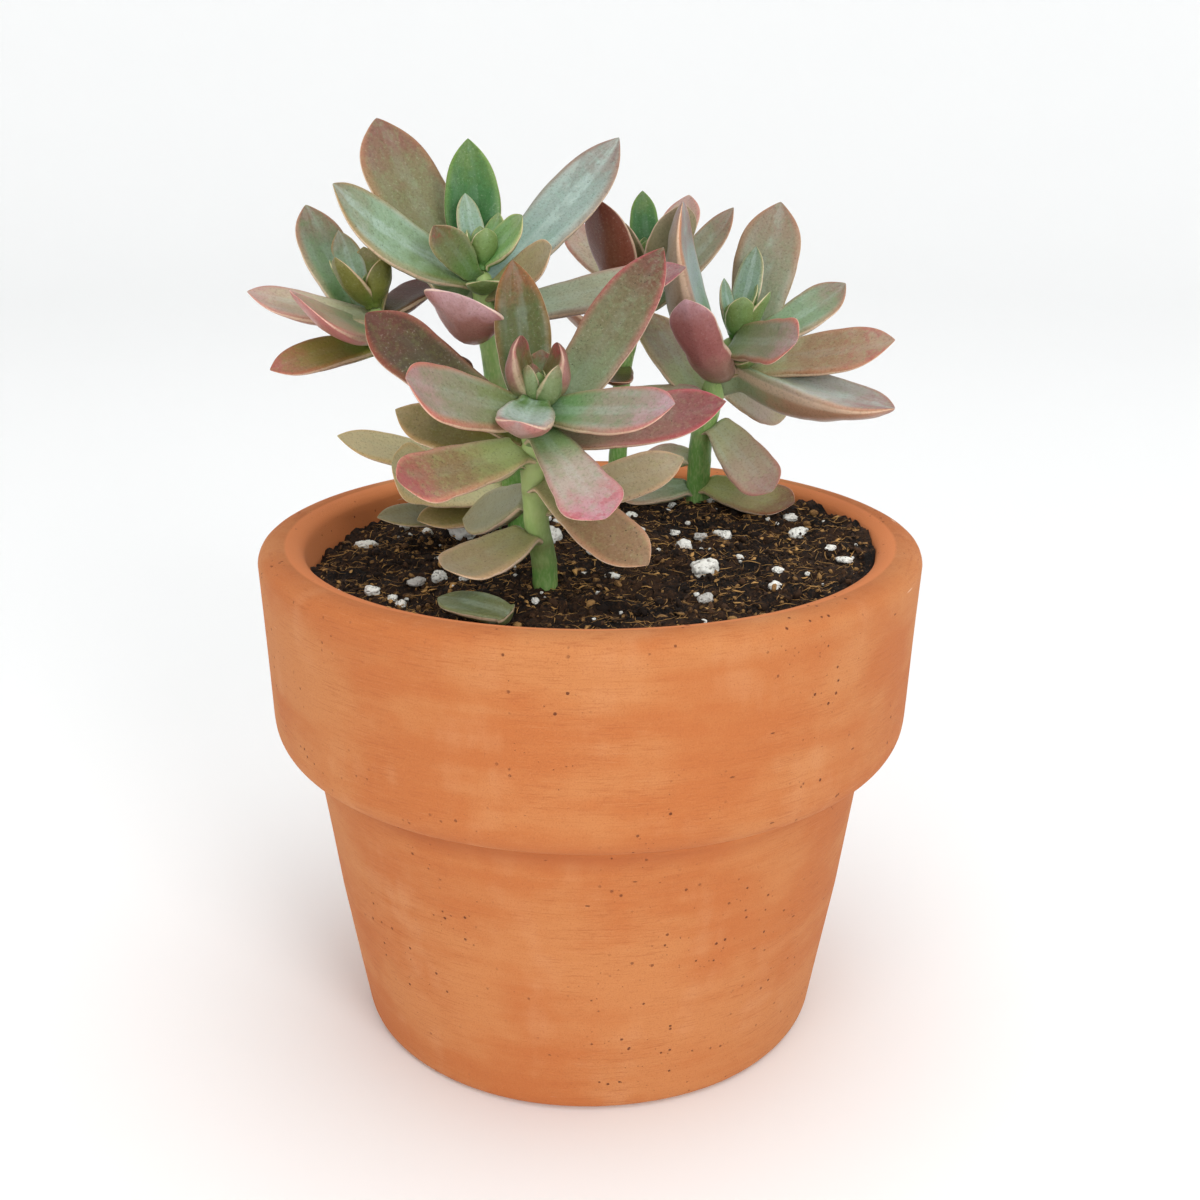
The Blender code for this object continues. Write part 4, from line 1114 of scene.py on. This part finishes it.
def joined(parts):
    # several leaves in one mesh, each with a material of its own
    points, faces, marks, kinds, which = [], [], {}, [], []
    start = 0
    for (cornersHere, facesHere, marksHere), kind in parts:
        if kind not in kinds:
            kinds.append(kind)
        points.append(cornersHere)
        faces += [tuple(i + start for i in f) for f in facesHere]
        which += [kinds.index(kind)] * len(facesHere)
        for key, values in marksHere.items():
            marks.setdefault(key, []).extend(values)
        start += len(cornersHere)
    return np.vstack(points), faces, marks, [leafFinish(k) for k in kinds], which


def makeHearts():
    for name, young in hearts.items():
        line = stemLines[name]
        top = line[-1, :3] + (0, 0, 0.9)
        parts = []
        for up, azimuth, rise, length, width, thick, bend, opens, kind in young:
            base = top + (0, 0, up - 0.9) + heading(azimuth, 0) * (0.55 if length > 5 else 0.25)
            inward = heading(azimuth + 180, 35)   # a young leaf turns its upper face to the heart
            facts = planLeaf(base, inward, azimuth, rise, length, width, thick, bend, fullest=0.5)
            parts.append((leafMesh(facts, length, nose=0.32 * thick - 0.25, opens=opens), kind))
        points, faces, marks, materials, which = joined(parts)
        addPiece(name + "_heart", points, faces, materials, [name + "_crown"], marks, which)
    for name, (owner, height, azimuth, rise, length, width, thick, bend, kind) in extras.items():
        line = stemLines[owner]
        middle = np.array([np.interp(height, line[:, 2], line[:, k]) for k in (0, 1)] + [height])
        lean = abs(math.sin(math.radians(rise))) * thick * 0.7
        base = middle + heading(azimuth, 0) * (line[:, 3].max() + 0.3 + lean)
        group = "low" if name.startswith("low") else owner
        facts = planLeaf(base, heading(*facing[group]), azimuth, rise, length, width, thick, bend, 0.58)
        points, faces, marks = leafMesh(facts, height)
        addPiece(name, points, faces, [leafFinish(kind)], marks=marks)
    print("hearts:", len(hearts), "and small leaves:", len(extras))


def makeFallen():
    facts = readLeaf("fallen_leaf")
    stemLines["floor"] = np.array([[*(facts["centre"][0] + (0.2, -0.1, -0.5)), 0.5]])
    points, faces, marks = leafMesh(facts, 2.0, **shapes["fallen_leaf"])
    del stemLines["floor"]
    addPiece("fallen_leaf_flesh", points, faces, [leafFinish("fallen")], ["fallen_leaf"], marks)


# ---- studio

studio = {
    "floor": tint(250, 251, 251), "sky": 0.44,
    "top": {"place": (0.20, 0.0, 2.6), "size": 3.2, "power": 42.0},
    "key": {"place": (0.60, -1.00, 0.55), "size": 0.5, "power": 5.6},
    "fill": {"place": (-0.70, -1.00, 0.30), "size": 0.8, "power": 4.0},
}

camera = {"side": 0.00167, "back": 0.23247, "height": 0.15063, "down": 18.4, "tilt": 0.235, "lens": 42.8}


def makeStudio():
    # a wide floor whose rim curves up out of sight
    points, around = [], 96
    profile = [(r, 0.0) for r in (0.0, 0.3, 0.6, 0.9, 1.2)]
    profile += [(1.2 + 0.8 * math.sin(a), 0.8 * (1 - math.cos(a))) for a in np.linspace(0.2, 1.5, 8)]
    for r, z in profile[1:]:
        turns = [k * math.tau / around for k in range(around)]
        points += [(r * math.cos(a), r * math.sin(a), z) for a in turns]
    faces = [f[::-1] for f in ringFaces(len(profile) - 1, around)] + [tuple(range(around))]
    ground = Finish("studio_floor", Roughness=0.9)
    cloud = ground.clouds(ground.place(), 0.01, 1)
    ground.wear(ground.blend(cloud * 0.04, studio["floor"], tint(238, 238, 238)))
    mesh = bpy.data.meshes.new("studio_floor")
    mesh.from_pydata(points, [], faces)
    mesh.materials.append(ground.material)
    mesh.shade_smooth()
    floor = bpy.data.objects.new("studio_floor", mesh)
    bpy.context.scene.collection.objects.link(floor)

    world = bpy.data.worlds.new("studio")
    world.use_nodes = True
    sky = world.node_tree.nodes["Background"]
    sky.inputs["Color"].default_value = (1.0, 1.0, 1.0, 1.0)
    sky.inputs["Strength"].default_value = studio["sky"]
    bpy.context.scene.world = world
    middle = (cadBox[0] + cadBox[1]) / 2
    for name in ("top", "key", "fill"):
        facts = studio[name]
        light = bpy.data.lights.new(name, "AREA")
        light.shape = "DISK"
        light.size, light.energy = facts["size"], facts["power"]
        lamp = bpy.data.objects.new(name, light)
        lamp.location = facts["place"]
        lamp.rotation_euler = (middle - Vector(facts["place"])).to_track_quat("-Z", "Y").to_euler()
        bpy.context.scene.collection.objects.link(lamp)
    bpy.context.scene.view_settings.view_transform = "Standard"

    lens = bpy.data.cameras.new("camera")
    lens.lens, lens.sensor_width = camera["lens"], 36.0
    lens.clip_start, lens.clip_end = 0.01, 20.0
    eye = bpy.data.objects.new("camera", lens)
    eye.location = (camera["side"], -camera["back"], camera["height"])
    eye.rotation_mode = "QUATERNION"
    eye.rotation_quaternion = (Quaternion((1, 0, 0), math.radians(90 - camera["down"]))
                               @ Quaternion((0, 0, 1), math.radians(camera["tilt"])))
    bpy.context.scene.collection.objects.link(eye)
    bpy.context.scene.camera = eye
    print("studio: floor, lights and camera")


makePot()
makeSoil()
makeStems()
makeLeaves()
makeHearts()
makeFallen()
makeStudio()
